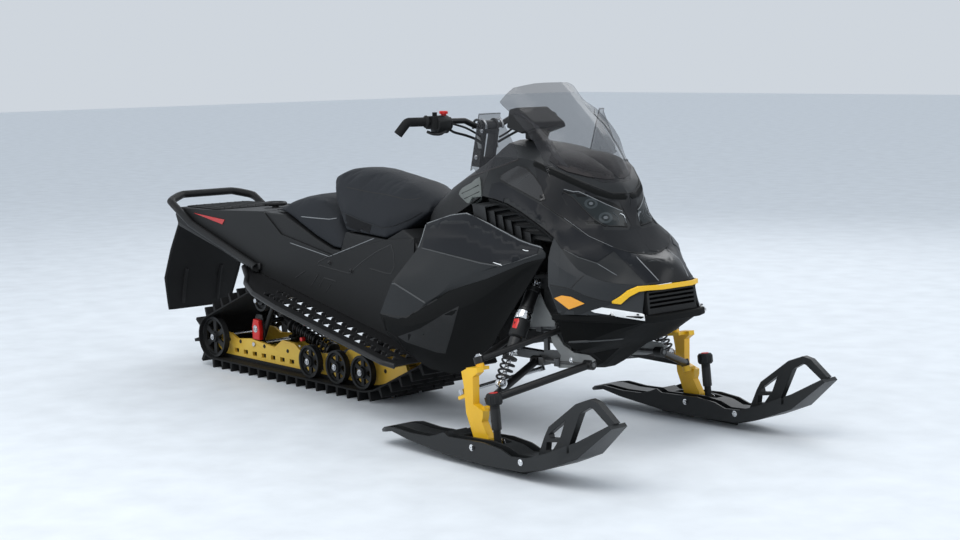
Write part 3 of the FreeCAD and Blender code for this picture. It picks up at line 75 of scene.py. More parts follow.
def camera_axes():
    ahead = Vector((
        math.cos(CAMERA_PITCH) * math.cos(CAMERA_YAW),
        math.cos(CAMERA_PITCH) * math.sin(CAMERA_YAW),
        math.sin(CAMERA_PITCH),
    ))
    level = Vector((math.sin(CAMERA_YAW), -math.cos(CAMERA_YAW), 0))
    above = level.cross(ahead)
    right = level * math.cos(CAMERA_ROLL) + above * math.sin(CAMERA_ROLL)
    up = above * math.cos(CAMERA_ROLL) - level * math.sin(CAMERA_ROLL)
    return right, up, ahead


def make_camera():
    right, up, ahead = camera_axes()
    lens = bpy.data.cameras.new("photo_camera")
    lens.sensor_width = SENSOR_MM
    lens.lens = FOCAL_PIXELS / FRAME_SIZE[0] * SENSOR_MM
    lens.clip_end = 100
    camera = bpy.data.objects.new("photo_camera", lens)
    turn = Matrix((right, up, -ahead)).transposed()
    camera.matrix_world = Matrix.Translation(CAMERA_PLACE) @ turn.to_4x4()
    bpy.context.scene.collection.objects.link(camera)
    bpy.context.scene.camera = camera


def photo_ray(pixel):
    """Direction from the camera through a pixel of the photograph."""
    right, up, ahead = camera_axes()
    across = pixel[0] - FRAME_SIZE[0] / 2
    down = pixel[1] - FRAME_SIZE[1] / 2
    return (ahead * FOCAL_PIXELS + right * across - up * down).normalized()


def pixel_of(point):
    right, up, ahead = camera_axes()
    away = Vector(point) - CAMERA_PLACE
    scale = FOCAL_PIXELS / away.dot(ahead)
    return FRAME_SIZE[0] / 2 + away.dot(right) * scale, FRAME_SIZE[1] / 2 - away.dot(up) * scale


def make_light(name, place, aim, size, power, tint=(1, 1, 1)):
    data = bpy.data.lights.new(name, "AREA")
    data.shape = "RECTANGLE"
    data.size, data.size_y = size
    data.energy = power
    data.color = tint
    light = bpy.data.objects.new(name, data)
    light.location = place
    light.rotation_euler = (Vector(aim) - Vector(place)).to_track_quat("-Z", "Y").to_euler()
    bpy.context.scene.collection.objects.link(light)


def make_studio():
    world = bpy.data.worlds.new("studio")
    bpy.context.scene.world = world
    world.use_nodes = True
    sky = world.node_tree.nodes["Background"]
    sky.inputs["Color"].default_value = (0.80, 0.86, 0.93, 1)
    sky.inputs["Strength"].default_value = 0.78
    make_light("key", (1.5, -3.5, 6.0), (0.2, 0, 0.6), (5.0, 4.0), 190, (1.0, 0.99, 0.97))
    make_light("side", (-3.5, -6.0, 3.0), (-0.3, 0, 0.6), (4.0, 3.0), 70)
    make_light("front", (6.5, 3.0, 4.0), (0.9, 0.2, 0.6), (4.0, 3.0), 80)
    make_light("back", (-2.5, 5.0, 4.5), (0, 0, 0.7), (5.0, 3.0), 90)
    bpy.context.scene.view_settings.view_transform = "Standard"
    mesh = bpy.data.meshes.new("floor")
    mesh.from_pydata([(-40, -40, 0), (40, -40, 0), (40, 40, 0), (-40, 40, 0)], [], [(0, 1, 2, 3)])
    floor = bpy.data.objects.new("floor", mesh)
    bpy.context.scene.collection.objects.link(floor)
    floor.data.materials.append(finish("floor_white", (0.78, 0.82, 0.86), 0.75, grain=3, depth=0.02))


# Materials

def finish(name, color, rough, metal=0.0, grain=0.0, depth=0.0, vary=0.12, coat=0.0, wear=0.0,
           spread=0.08, shine=0.5):
    """Solid finish with uneven colour and gloss, a fine grain and lighter worn edges.
    """
    material = bpy.data.materials.new(name)
    material.use_nodes = True
    tree = material.node_tree
    shader = tree.nodes["Principled BSDF"]
    shader.inputs["Metallic"].default_value = metal
    shader.inputs["Coat Weight"].default_value = coat
    shader.inputs["Coat Roughness"].default_value = 0.12
    shader.inputs["Specular IOR Level"].default_value = shine
    place = tree.nodes.new("ShaderNodeTexCoord")
    cloud = tree.nodes.new("ShaderNodeTexNoise")
    cloud.inputs["Scale"].default_value = 6.0
    cloud.inputs["Detail"].default_value = 6.0
    tree.links.new(place.outputs["Object"], cloud.inputs["Vector"])
    shade = tree.nodes.new("ShaderNodeMapRange")
    shade.inputs["To Min"].default_value = 1 - vary
    shade.inputs["To Max"].default_value = 1 + vary
    tree.links.new(cloud.outputs["Fac"], shade.inputs["Value"])
    tone = tree.nodes.new("ShaderNodeVectorMath")
    tone.operation = "SCALE"
    tone.inputs[0].default_value = color
    tree.links.new(shade.outputs["Result"], tone.inputs["Scale"])
    color_out = tone.outputs["Vector"]
    if wear:
        shape = tree.nodes.new("ShaderNodeNewGeometry")
        edge = tree.nodes.new("ShaderNodeMapRange")
        edge.inputs["From Min"].default_value = 0.52
        edge.inputs["From Max"].default_value = 0.62
        edge.inputs["To Max"].default_value = wear
        tree.links.new(shape.outputs["Pointiness"], edge.inputs["Value"])
        mix = tree.nodes.new("ShaderNodeMix")
        mix.data_type = "RGBA"
        mix.inputs["B"].default_value = tuple(min(1, c * 2.2 + 0.05) for c in color) + (1,)
        tree.links.new(edge.outputs["Result"], mix.inputs["Factor"])
        tree.links.new(color_out, mix.inputs["A"])
        color_out = mix.outputs["Result"]
    tree.links.new(color_out, shader.inputs["Base Color"])
    gloss = tree.nodes.new("ShaderNodeMapRange")
    gloss.inputs["To Min"].default_value = max(0.02, rough - spread)
    gloss.inputs["To Max"].default_value = min(1.0, rough + spread)
    tree.links.new(cloud.outputs["Fac"], gloss.inputs["Value"])
    tree.links.new(gloss.outputs["Result"], shader.inputs["Roughness"])
    if grain:
        speck = tree.nodes.new("ShaderNodeTexNoise")
        speck.inputs["Scale"].default_value = grain
        speck.inputs["Detail"].default_value = 3.0
        tree.links.new(place.outputs["Object"], speck.inputs["Vector"])
        bump = tree.nodes.new("ShaderNodeBump")
        bump.inputs["Strength"].default_value = min(1.0, depth)
        bump.inputs["Distance"].default_value = 0.002
        tree.links.new(speck.outputs["Fac"], bump.inputs["Height"])
        tree.links.new(bump.outputs["Normal"], shader.inputs["Normal"])
    FINISHES[name] = material
    return material


def clear_plastic(name, color, cover, rough):
    """Thin tinted sheet: cover is how much of what lies behind it is hidden."""
    material = finish(name, color, rough, vary=0.05, spread=0.01, shine=0.25)
    material.node_tree.nodes["Principled BSDF"].inputs["Alpha"].default_value = cover


finish("black_plastic", (0.008, 0.0085, 0.009), 0.5, grain=700, depth=0.22, wear=0.2, shine=0.25)
finish("body_plastic", (0.012, 0.0136, 0.015), 0.46, grain=900, depth=0.05, coat=0.04, shine=0.26)
finish("mask_plastic", (0.0075, 0.0082, 0.01), 0.46, grain=900, depth=0.05, coat=0.05,
       shine=0.2)
finish("navy_plastic", (0.0042, 0.0054, 0.008), 0.38, grain=900, depth=0.04, coat=0.03,
       shine=0.2)
finish("beak_plastic", (0.0065, 0.007, 0.008), 0.34, grain=900, depth=0.04, coat=0.06,
       shine=0.2)
finish("dark_plastic", (0.0042, 0.0046, 0.0047), 0.58, grain=800, depth=0.12, wear=0.1,
       shine=0.08)
finish("cheek_plastic", (0.0245, 0.027, 0.0295), 0.42, grain=900, depth=0.05, shine=0.28)
# Soft grey for lighter bands along creases and ridges, painted soft highlights; the side window's inner
# line is drawn in it too
finish("soft_highlight_grey", (0.045, 0.048, 0.05), 0.4, grain=900, depth=0.05, vary=0.1)
finish("window_plastic", (0.016, 0.016, 0.017), 0.22, coat=0.3)
# Light grey for thin lines along edges and creases: painted highlights where edges catch light, and the
# light seam line of the back seat
finish("trim_and_highlight_grey", (0.2, 0.21, 0.22), 0.35, vary=0.08)
finish("vent_grey", (0.105, 0.117, 0.11), 0.5, grain=500, depth=0.1, vary=0.3)
# Black for seams and joints, and for the sheet of painted shade inside the hood
finish("seam_black", (0.003, 0.003, 0.003), 0.6, vary=0.05)
finish("rubber", (0.0062, 0.0064, 0.0068), 0.75, grain=260, depth=0.5, vary=0.3, wear=0.25, shine=0.25)
finish("vinyl", (0.0165, 0.0188, 0.0228), 0.64, grain=420, depth=0.35, shine=0.2)
finish("vinyl_dark", (0.007, 0.0074, 0.0085), 0.66, grain=420, depth=0.35, shine=0.15)
finish("aluminium", (0.6, 0.61, 0.63), 0.33, metal=1.0, grain=300, depth=0.1)
finish("cast_aluminium", (0.13, 0.133, 0.135), 0.45, metal=0.6, grain=500, depth=0.35)
finish("cast_grey", (0.27, 0.28, 0.28), 0.5, grain=500, depth=0.3, vary=0.2)
finish("black_metal", (0.008, 0.008, 0.0085), 0.4, grain=600, depth=0.12, wear=0.3, shine=0.35)
finish("steel", (0.55, 0.56, 0.58), 0.26, metal=1.0, grain=200, depth=0.08)
finish("bright_metal", (0.78, 0.79, 0.8), 0.16, metal=1.0, grain=200, depth=0.05)
finish("yellow_paint", (0.82, 0.46, 0.012), 0.34, grain=500, depth=0.06, wear=0.15)
finish("yellow_plastic", (0.86, 0.5, 0.012), 0.36, grain=700, depth=0.06)
finish("orange_marker", (0.86, 0.36, 0.015), 0.25, coat=0.5, vary=0.06)
finish("gold_paint", (0.64, 0.385, 0.042), 0.42, metal=0.1, grain=400, depth=0.08, wear=0.15)
# White for the number plate, also used for painted highlight strokes on the side panels
finish("white_plastic_and_highlight", (0.86, 0.88, 0.89), 0.35, vary=0.03)
finish("red_plastic", (0.62, 0.012, 0.01), 0.3, vary=0.06)
finish("red_lens", (0.5, 0.01, 0.008), 0.2, coat=0.6)
finish("ski_plastic", (0.0145, 0.0158, 0.0165), 0.42, grain=500, depth=0.12, wear=0.2, shine=0.3)
clear_plastic("smoke_screen", (0.034, 0.034, 0.037), 0.33, 0.08)
finish("lamp_lens", (0.004, 0.0048, 0.0052), 0.3, coat=0.05, vary=0.3, shine=0.15)
# Lighter tint for the rim of the wind deflector: painted highlight along the sheet's edge
clear_plastic("clear_edge_highlight", (0.1, 0.1, 0.11), 0.5, 0.2)
clear_plastic("clear_screen", (0.034, 0.034, 0.037), 0.5, 0.08)
clear_plastic("screen_band", (0.05, 0.05, 0.055), 0.55, 0.1)
finish("dome_brown", (0.014, 0.01, 0.01), 0.5, grain=700, depth=0.1)
# Silver and light grey for spots in the headlight: painted glints on the lens
finish("lamp_silver", (0.42, 0.44, 0.46), 0.18, metal=0.8, vary=0.15)
finish("lamp_grey", (0.1, 0.11, 0.12), 0.25, vary=0.2)
finish("lamp_dark", (0.014, 0.0185, 0.02), 0.25, coat=0.1, vary=0.6, shine=0.2)
# Mid grey of the headlight's painted glints
finish("lamp_mid", (0.034, 0.042, 0.046), 0.3, vary=0.5, shine=0.3)

# CAD nodes whose finish differs from their slot's
OWN_FINISH = {
    "skid_rails": "gold_paint",
    "wind_deflectors": "clear_screen",
    "engine": "black_metal",
    "lower_panels": "dark_plastic",
    "belly_pan": "dark_plastic",
    "front_bumper": "dark_plastic",
    "cheeks": "cheek_plastic",
}


# Pieces

def new_piece(name, mesh, finish_name, body="root"):
    piece = bpy.data.objects.new(name, mesh)
    bpy.context.scene.collection.objects.link(piece)
    mesh.materials.clear()
    mesh.materials.append(FINISHES[finish_name])
    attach(piece, body)
    return piece


# Degrees: bends that are still flat, that stay a crease, and that are rounded
FLAT_BEND = 0.6
USUAL_CREASE = 26
BEVEL_BEND = 30
CREASES = {
    "headlights": 12,
    "hood": 14,
    "side_panels": 14,
    "lower_panels": 14,
    "cheeks": 12,
    "belly_pan": 14,
    "windshield": 8,
}

# Metres: points that are one, and the usual edge rounding
SAME_PLACE = 0.00002
USUAL_ROUNDING = 0.001

# Edge rounding of dressed nodes in metres, where it isn't the usual one
ROUNDING = {
    "front_bumper": 0.005,
    "tunnel": 0.0012,
    "hood": 0,
    "side_panels": 0,
    "lower_panels": 0,
    "cheeks": 0,
    "windshield": 0,
    "headlights": 0,
    "grab_bar": 0,
    "handlebar": 0,
    "nose_trim": 0.0012,
    "ski_right": 0.003,
    "ski_left": 0.003,
    "spindle_right": 0.003,
    "spindle_left": 0.003,
    "seat_base": 0.006,
    "tail_cover": 0.006,
    "side_covers": 0.002,
    "gauge": 0.006,
}


def smooth_but(bm, degrees):
    """Smooth shading but for edges that bend by more than so many degrees."""
    for face in bm.faces:
        face.smooth = True
    for edge in bm.edges:
        if len(edge.link_faces) == 2:
            edge.smooth = edge.calc_face_angle(0) < math.radians(degrees)


def mesh_from(bm, name, sharp):
    mesh = bpy.data.meshes.new(name)
    smooth_but(bm, sharp)
    bm.to_mesh(mesh)
    bm.free()
    return mesh


def dress(node):
    """Copy of a CAD node with its flat facets merged, smooth rounds and softly rounded edges."""
    source = NODES[node]
    name = node + "_dressed"
    bm = bmesh.new()
    bm.from_mesh(source.data)
    bmesh.ops.remove_doubles(bm, verts=bm.verts, dist=SAME_PLACE)
    bmesh.ops.dissolve_limit(bm, angle_limit=math.radians(FLAT_BEND), verts=bm.verts, edges=bm.edges)
    mesh = mesh_from(bm, name, CREASES.get(node, USUAL_CREASE))
    material = source.data.materials[0].name.split(".")[0]
    piece = new_piece(name, mesh, OWN_FINISH.get(node, material), source["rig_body"])
    width = ROUNDING.get(node, USUAL_ROUNDING)
    if width:
        bevel = piece.modifiers.new("edges", "BEVEL")
        bevel.width = width
        bevel.segments = 2
        bevel.limit_method = "ANGLE"
        bevel.angle_limit = math.radians(BEVEL_BEND)
        bevel.harden_normals = False
        bevel.use_clamp_overlap = True
    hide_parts(node)
    SURFACES[node] = mesh


def smooth_path(points, steps=6):
    """Round curve through the points, with steps more of them to each stretch."""
    points = [Vector(p) for p in points]
    last = len(points) - 1
    path = []
    for i in range(last):
        a, b, c, d = [points[max(0, min(last, i + k))] for k in (-1, 0, 1, 2)]
        for k in range(steps):
            t = k / steps
            path.append(0.5 * (2 * b + (c - a) * t + (2 * a - 5 * b + 4 * c - d) * t * t
                               + (3 * b - a - 3 * c + d) * t ** 3))
    path.append(points[-1])
    return path


def ring_faces(bm, rings, closed=False):
    """Skin over rings of points, capped at both ends unless the rings close on themselves."""
    count = len(rings[0])
    for i in range(len(rings) if closed else len(rings) - 1):
        a, b = rings[i], rings[(i + 1) % len(rings)]
        for k in range(count):
            bm.faces.new((a[k], a[(k + 1) % count], b[(k + 1) % count], b[k]))
    if not closed:
        bm.faces.new(list(reversed(rings[0])))
        bm.faces.new(rings[-1])
    bmesh.ops.recalc_face_normals(bm, faces=bm.faces)


def tube_mesh(name, path, radius, sides=10, closed=False, flat=1.0, grow=None):
    """Round tube along a path; flat squeezes it upright and grow gives each point's own radius share."""
    bm = bmesh.new()
    rings = []
    normal = None
    count = len(path)
    for i, point in enumerate(path):
        back = path[i - 1] if i or closed else point
        front = path[(i + 1) % count] if i < count - 1 or closed else point
        along = (Vector(front) - Vector(back)).normalized()
        if normal is None:
            helper = Vector((0, 0, 1)) if abs(along.z) < 0.9 else Vector((1, 0, 0))
            normal = along.cross(helper).normalized()
        normal = (normal - along * normal.dot(along)).normalized()
        other = along.cross(normal)
        share = grow[i] if grow else 1.0
        ring = []
        for k in range(sides):
            turn = 2 * math.pi * k / sides
            ring.append(bm.verts.new(
                Vector(point) + (normal * math.cos(turn) + other * math.sin(turn) * flat) * radius * share))
        rings.append(ring)
    ring_faces(bm, rings, closed)
    return mesh_from(bm, name, 40)


def lathe_mesh(name, profile, place, axis, sides=32):
    """Turned shape: profile is (radius, distance along the axis) pairs, closed round the axis."""
    axis = Vector(axis).normalized()
    helper = Vector((0, 0, 1)) if abs(axis.z) < 0.9 else Vector((1, 0, 0))
    first = axis.cross(helper).normalized()
    second = axis.cross(first)
    bm = bmesh.new()
    rings = []
    for radius, along in profile:
        ring = []
        for k in range(sides):
            turn = 2 * math.pi * k / sides
            ring.append(bm.verts.new(Vector(place) + axis * along
                                     + (first * math.cos(turn) + second * math.sin(turn)) * radius))
        rings.append(ring)
    ring_faces(bm, rings)
    return mesh_from(bm, name, 32)


def plate_mesh(name, outline, depth, rounding=0.001):
    """Flat plate of a given outline, pushed by the vector depth, with rounded rims."""
    bm = bmesh.new()
    near = [bm.verts.new(p) for p in outline]
    far = [bm.verts.new(Vector(p) + Vector(depth)) for p in outline]
    bm.faces.new(near)
    bm.faces.new(list(reversed(far)))
    for k in range(len(near)):
        after = (k + 1) % len(near)
        bm.faces.new((near[k], far[k], far[after], near[after]))
    bmesh.ops.recalc_face_normals(bm, faces=bm.faces)
    rims = [e for e in bm.edges if e.calc_face_angle(0) > math.radians(35)]
    bmesh.ops.bevel(bm, geom=rims, offset=rounding, segments=2, affect="EDGES", profile=0.5,
                    clamp_overlap=True)
    return mesh_from(bm, name, 30)


def mirrored(mesh, name):
    """The same mesh on the other side of the vehicle."""
    copy = mesh.copy()
    copy.name = name
    for vertex in copy.vertices:
        vertex.co.y = -vertex.co.y
    copy.flip_normals()
    if "shade" in copy.attributes and copy.has_custom_normals:
        for item in copy.attributes["shade"].data:
            item.vector = (item.vector[0], -item.vector[1], item.vector[2])
        follow_shades(copy)
    return copy


def both_sides(name, mesh, look, body="root"):
    """A piece on the right side and its mirror image on the left."""
    new_piece(name + "_left", mirrored(mesh, name + "_left"), look, body)
    new_piece(name + "_right", mesh, look, body)


def tube(name, path, radius, look, body="root", sides=8, **shape):
    new_piece(name, tube_mesh(name, path, radius, sides, **shape), look, body)


def plate(name, outline, depth, rounding, look, body="root"):
    new_piece(name, plate_mesh(name, outline, depth, rounding), look, body)


# Lines and patches of the photograph laid on the body

BEAD_STEP = 1.5
BEAD_SINK = 0.002


def tree_of(names):
    """Ray tree of the named meshes, with the shading directions of every triangle's corners."""
    key = tuple(names)
    if key not in TREES:
        points = []
        faces = []
        shades = []
        for name in names:
            start = len(points)
            mesh = SURFACES[name]
            mesh.calc_loop_triangles()
            points.extend(v.co.copy() for v in mesh.vertices)
            normals = mesh.corner_normals
            for triangle in mesh.loop_triangles:
                faces.append([start + k for k in triangle.vertices])
                shades.append([Vector(normals[k].vector) for k in triangle.loops])
        TREES[key] = (BVHTree.FromPolygons(points, faces), points, faces, shades)
    return TREES[key]


def cast(pixel, names):
    """Place on the named nodes that the photograph shows at a pixel, with the surface's direction."""
    place, normal, _ = cast_shaded(pixel, names)
    return place, normal


def cast_shaded(pixel, names):
    """The same with the smooth shading direction at that place."""
    ray = photo_ray(pixel)
    tree, points, faces, shades = tree_of(names)
    place, normal, index, _ = tree.ray_cast(CAMERA_PLACE, ray)
    if place is None:
        return None, None, None
    a, b, c = [points[k] for k in faces[index]]
    area = (b - a).cross(c - a)
    whole = max(area.dot(area), 1e-20)
    share_b = (place - a).cross(c - a).dot(area) / whole
    share_c = (b - a).cross(place - a).dot(area) / whole
    first, second, third = shades[index]
    shade = first * (1 - share_b - share_c) + second * share_b + third * share_c
    if normal.dot(ray) > 0:
        normal = -normal
    if shade.dot(normal) < 0:
        shade = -shade
    return place, normal, shade.normalized()


def split_line(points, step):
    """The same line with points no further apart than step."""
    fine = []
    for a, b in zip(points, points[1:]):
        count = max(1, math.ceil((Vector(b) - Vector(a)).length / step))
        fine.extend(Vector(a).lerp(Vector(b), k / count) for k in range(count))
    fine.append(Vector(points[-1]))
    return fine


def bead(name, pixels, names, width, look, lift=0.0006):
    """Low rounded bead along a line of pixels, hugging the named nodes; width is in metres."""
    places = []
    for pixel in split_line([Vector(p) for p in pixels], BEAD_STEP):
        place, normal = cast(pixel, names)
        if place is not None:
            places.append((place, normal))
    bm = bmesh.new()
    rings = []
    last = len(places) - 1
    for i, (place, normal) in enumerate(places):
        along = places[min(last, i + 1)][0] - places[max(0, i - 1)][0]
        side = along.cross(normal)
        if side.length < 1e-9:
            continue
        side = side.normalized() * width / 2 * (0.35 if i in (0, last) else 1.0)
        ring = ((-1, -BEAD_SINK), (-1, lift * 0.3), (-0.5, lift), (0.5, lift), (1, lift * 0.3),
                (1, -BEAD_SINK))
        rings.append([bm.verts.new(place + side * across + normal * up) for across, up in ring])
    ring_faces(bm, rings)
    both_sides(name, mesh_from(bm, name, 50), look)


def inside(point, outline):
    crossings = 0
    for a, b in zip(outline, outline[1:] + outline[:1]):
        if (a[1] > point[1]) != (b[1] > point[1]):
            if point[0] < a[0] + (b[0] - a[0]) * (point[1] - a[1]) / (b[1] - a[1]):
                crossings += 1
    return crossings % 2 == 1


def patch(name, outline, names, look, lift=0.001, sink=0.003, grid=4.0, step=2.5, bow=0.0):
    """Thin shell over the named nodes with its rim where the photograph shows it; bow swells it."""
    border = split_line([Vector(p) for p in outline] + [Vector(outline[0])], step)[:-1]
    rim_pixels = [tuple(p) for p in border]
    low = [min(p[k] for p in rim_pixels) for k in (0, 1)]
    high = [max(p[k] for p in rim_pixels) for k in (0, 1)]
    extra = []
    rows = int((high[1] - low[1]) / grid) + 1
    columns = int((high[0] - low[0]) / grid) + 1
    for r in range(1, rows + 1):
        for c in range(1, columns + 1):
            at = (low[0] + c * grid + (r % 2) * grid / 2, low[1] + r * grid)
            if inside(at, rim_pixels):
                gap = min((Vector(at) - Vector(p)).length for p in rim_pixels)
                if gap > grid * 0.45:
                    extra.append((at, gap))
    count = len(rim_pixels)
    flat = [Vector(p) for p in rim_pixels] + [Vector(p) for p, _ in extra]
    edges = [(k, (k + 1) % count) for k in range(count)]
    points, _, faces, origins, _, _ = delaunay_2d_cdt(flat, edges, [list(range(count))], 1, 0.001)
    reach = max([gap for _, gap in extra] or [1.0])
    bm = bmesh.new()
    shade_layer = bm.verts.layers.float_vector.new("shade")
    tops = []
    gaps = [0.0] * count + [gap for _, gap in extra]
    for at, origin in zip(points, origins):
        place, _, shade = cast_shaded(at, names)
        gap = gaps[origin[0]] if origin else 0.0
        if place is None:
            tops.append(None)
            continue
        swell = bow * math.sqrt(min(1.0, gap / reach)) if bow else 0.0
        tops.append(bm.verts.new(place + shade * (lift + swell)))
        tops[-1][shade_layer] = shade
    for face in faces:
        corners = [tops[k] for k in face]
        if None not in corners:
            try:
                bm.faces.new(corners)
            except ValueError:
                pass
    bm.normal_update()
    ray = photo_ray(rim_pixels[0])
    facing = sum(f.normal.dot(ray) for f in bm.faces)
    if facing > 0:
        bmesh.ops.reverse_faces(bm, faces=bm.faces)
    open_edges = [e for e in bm.edges if len(e.link_faces) == 1]
    made = bmesh.ops.extrude_edge_only(bm, edges=open_edges)["geom"]
    bm.normal_update()
    for vertex in [g for g in made if isinstance(g, bmesh.types.BMVert)]:
        vertex.co = vertex.co - vertex[shade_layer] * (lift + sink)
    mesh = mesh_from(bm, name, 35)
    if not bow:
        follow_shades(mesh)
    both_sides(name, mesh, look)


def follow_shades(mesh):
    """Shades a shell like the surface that it lies on."""
    rows = [Vector(item.vector) for item in mesh.attributes["shade"].data]
    mesh.normals_split_custom_set_from_vertices([tuple(r) if r.length > 0.5 else (0, 0, 1) for r in rows])


# Seats

PAD_VOXEL = 0.007
PAD_SHRINK = 0.009
PAD_REACH = 0.018


def pad_copy(node):
    """Closed, evenly meshed and slightly smaller copy of a seat's solid."""
    mesh = NODES[node].data.copy()
    mesh.name = node + "_pad"
    bm = bmesh.new()
    bm.from_mesh(mesh)
    bmesh.ops.remove_doubles(bm, verts=bm.verts, dist=SAME_PLACE)
    bm.to_mesh(mesh)
    bm.free()
    pad = bpy.data.objects.new(node + "_pad", mesh)
    bpy.context.scene.collection.objects.link(pad)
    remesh = pad.modifiers.new("even", "REMESH")
    remesh.mode = "VOXEL"
    remesh.voxel_size = PAD_VOXEL
    apply_modifiers(pad)
    soften = pad.modifiers.new("soften", "SMOOTH")
    soften.factor = 0.5
    soften.iterations = 10
    apply_modifiers(pad)
    return pad


def apply_modifiers(piece):
    graph = bpy.context.evaluated_depsgraph_get()
    graph.update()
    final = bpy.data.meshes.new_from_object(piece.evaluated_get(graph))
    piece.modifiers.clear()
    old = piece.data
    piece.data = final
    bpy.data.meshes.remove(old)


def puff(pad, base_share=0.12):
    """Cloth pass: the pad swells like padded cover over foam, and rests flat on its base."""
    low = min(v.co.z for v in pad.data.vertices)
    high = max(v.co.z for v in pad.data.vertices)
    for vertex in pad.data.vertices:
        vertex.co -= vertex.normal * PAD_SHRINK * 0.6
    start = [v.co.copy() for v in pad.data.vertices]
    held = pad.vertex_groups.new(name="held")
    held.add([v.index for v in pad.data.vertices
              if v.normal.z < -0.5 or v.co.z < low + (high - low) * base_share], 1.0, "REPLACE")
    cloth = pad.modifiers.new("cover", "CLOTH")
    cloth.settings.use_pressure = True
    cloth.settings.uniform_pressure_force = 4.0
    cloth.settings.vertex_group_mass = "held"
    cloth.settings.tension_stiffness = 18
    cloth.settings.compression_stiffness = 18
    cloth.settings.bending_stiffness = 1.5
    cloth.settings.quality = 5
    cloth.settings.effector_weights.gravity = 0
    cloth.point_cache.frame_start = 1
    cloth.point_cache.frame_end = 20
    for step in range(1, 21):
        bpy.context.scene.frame_set(step)
    apply_modifiers(pad)
    for vertex, first in zip(pad.data.vertices, start):
        move = vertex.co - first
        if move.length > PAD_REACH:
            vertex.co = first + move.normalized() * PAD_REACH
    bpy.context.scene.frame_set(1)


def make_seat(node):
    pad = pad_copy(node)
    puff(pad)
    for polygon in pad.data.polygons:
        polygon.use_smooth = True
    soften = pad.modifiers.new("soften", "SMOOTH")
    soften.factor = 0.5
    soften.iterations = 4
    finer = pad.modifiers.new("finer", "SUBSURF")
    finer.levels = 1
    finer.render_levels = 1
    pad.data.materials.clear()
    pad.data.materials.append(FINISHES["vinyl"])
    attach(pad, "root")
    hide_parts(node)
    SURFACES[node + "_pad"] = pad.data
    return pad


# Lines and areas of the photograph, in its pixels

MASK_EDGE = [(541.8, 202.7), (556.3, 213.3), (564, 218), (579.8, 230), (588.8, 236.5), (603.3, 243),
             (613, 247.5), (626.7, 251.6), (643, 254), (655.3, 254), (664.5, 248)]
# Painted highlight along the beak's edge
BEAK_EDGE_HIGHLIGHT = [(636.5, 257), (643, 264), (651, 272.5), (658.8, 281)]
BEAK_BAND = [(593, 238.2), (609.3, 245.4), (629.7, 253), (636, 256), (648, 268.5), (659, 281.3),
             (645.6, 283), (629.7, 267.2), (614.4, 251.6)]
BEAK_TOP = [(637.5, 256.3), (655, 256.2), (665.5, 250.5), (672, 258), (683, 271), (690, 279.2),
            (675, 280.3), (660.5, 281.2), (650, 269.5)]
HOOD_CREASE = [(563.4, 249.3), (578.6, 257.5), (597, 263.5), (607, 269.5), (617, 275.6)]
HOOD_SIDE = [(506, 203), (528, 217.5), (546, 230), (553.4, 236.5), (561.4, 248.3), (578, 256), (597, 262),
             (613, 251.6), (592, 238.6), (579.5, 231.8), (563.4, 221.2), (548, 209.5), (540.5, 204.6),
             (500.5, 182), (492, 184), (488.5, 196)]
CHEEK_SEAM_A = [(584, 275.3), (577, 281.5), (571, 288.2)]
CHEEK_SEAM_B = [(549.3, 285), (560, 286.8), (571, 289.5), (586.3, 296.5), (600, 300.5), (613.1, 302.7)]
CHEEK_LOW = [(550, 286.4), (560, 288), (571, 290.7), (586, 297.6), (600, 301.6), (612, 303.6), (606, 306.5),
             (590, 310.5), (581, 314.5), (558.5, 315)]
SIDE_WINDOW = [(500.5, 179.5), (507, 183.3), (524, 192.5), (540.2, 201.2), (545.6, 199.5), (541.5, 187),
               (534, 176), (526.7, 168.6), (518.2, 165.8), (509, 170.5), (500.5, 175.8)]
LATCH_SPOT = (541.4, 197)
WINDOW_LINE = [(518, 184), (523, 179.5), (529.5, 174.5)]
VENT = [(459.5, 194.4), (460.6, 191), (462.9, 188.4), (467, 185.8), (471.8, 183.3), (476, 179.6),
        (480.2, 177.2), (481.2, 182), (481.5, 188), (481.8, 194), (481.6, 199.2), (477, 202.2),
        (471.8, 204.2), (467.5, 203), (464.6, 200.3), (461.5, 197.5)]
VENT_SLATS = [
    [(463, 194), (471, 190.5), (480, 185.5)],
    [(465.5, 199), (473, 195.8), (480.5, 192)],
]
SIDE_TOP = [(425.9, 224.3), (434, 220.3), (442.5, 216.9), (455, 214.7), (468, 213.2), (474.4, 214.6),
            (486, 222.2), (501.2, 230.5), (520, 240.5), (532, 244.8), (540, 246.8), (546, 251.5)]
SIDE_GLOSS = [(426.8, 226), (442.8, 218), (456, 215.8), (467.5, 214.6), (473.5, 216), (486, 223.8),
              (501, 232), (519.8, 242), (532, 246.2), (539, 248.2), (537, 253.4), (519, 260), (502, 265.4),
              (496, 264.8), (483.3, 262.2), (450, 254.2), (422.6, 247.3), (424.5, 236)]
SIDE_REAR = [(425.9, 224.8), (422.7, 236), (419, 246.4), (406, 263), (392.8, 280.6)]
SIDE_LOW = [(390.3, 284), (394.5, 283.6), (408, 292), (425.5, 303.2)]
SIDE_CREASE = [(421.8, 248), (450, 255.2), (480.6, 263.2), (498.8, 266), (519, 260.6), (538, 254)]
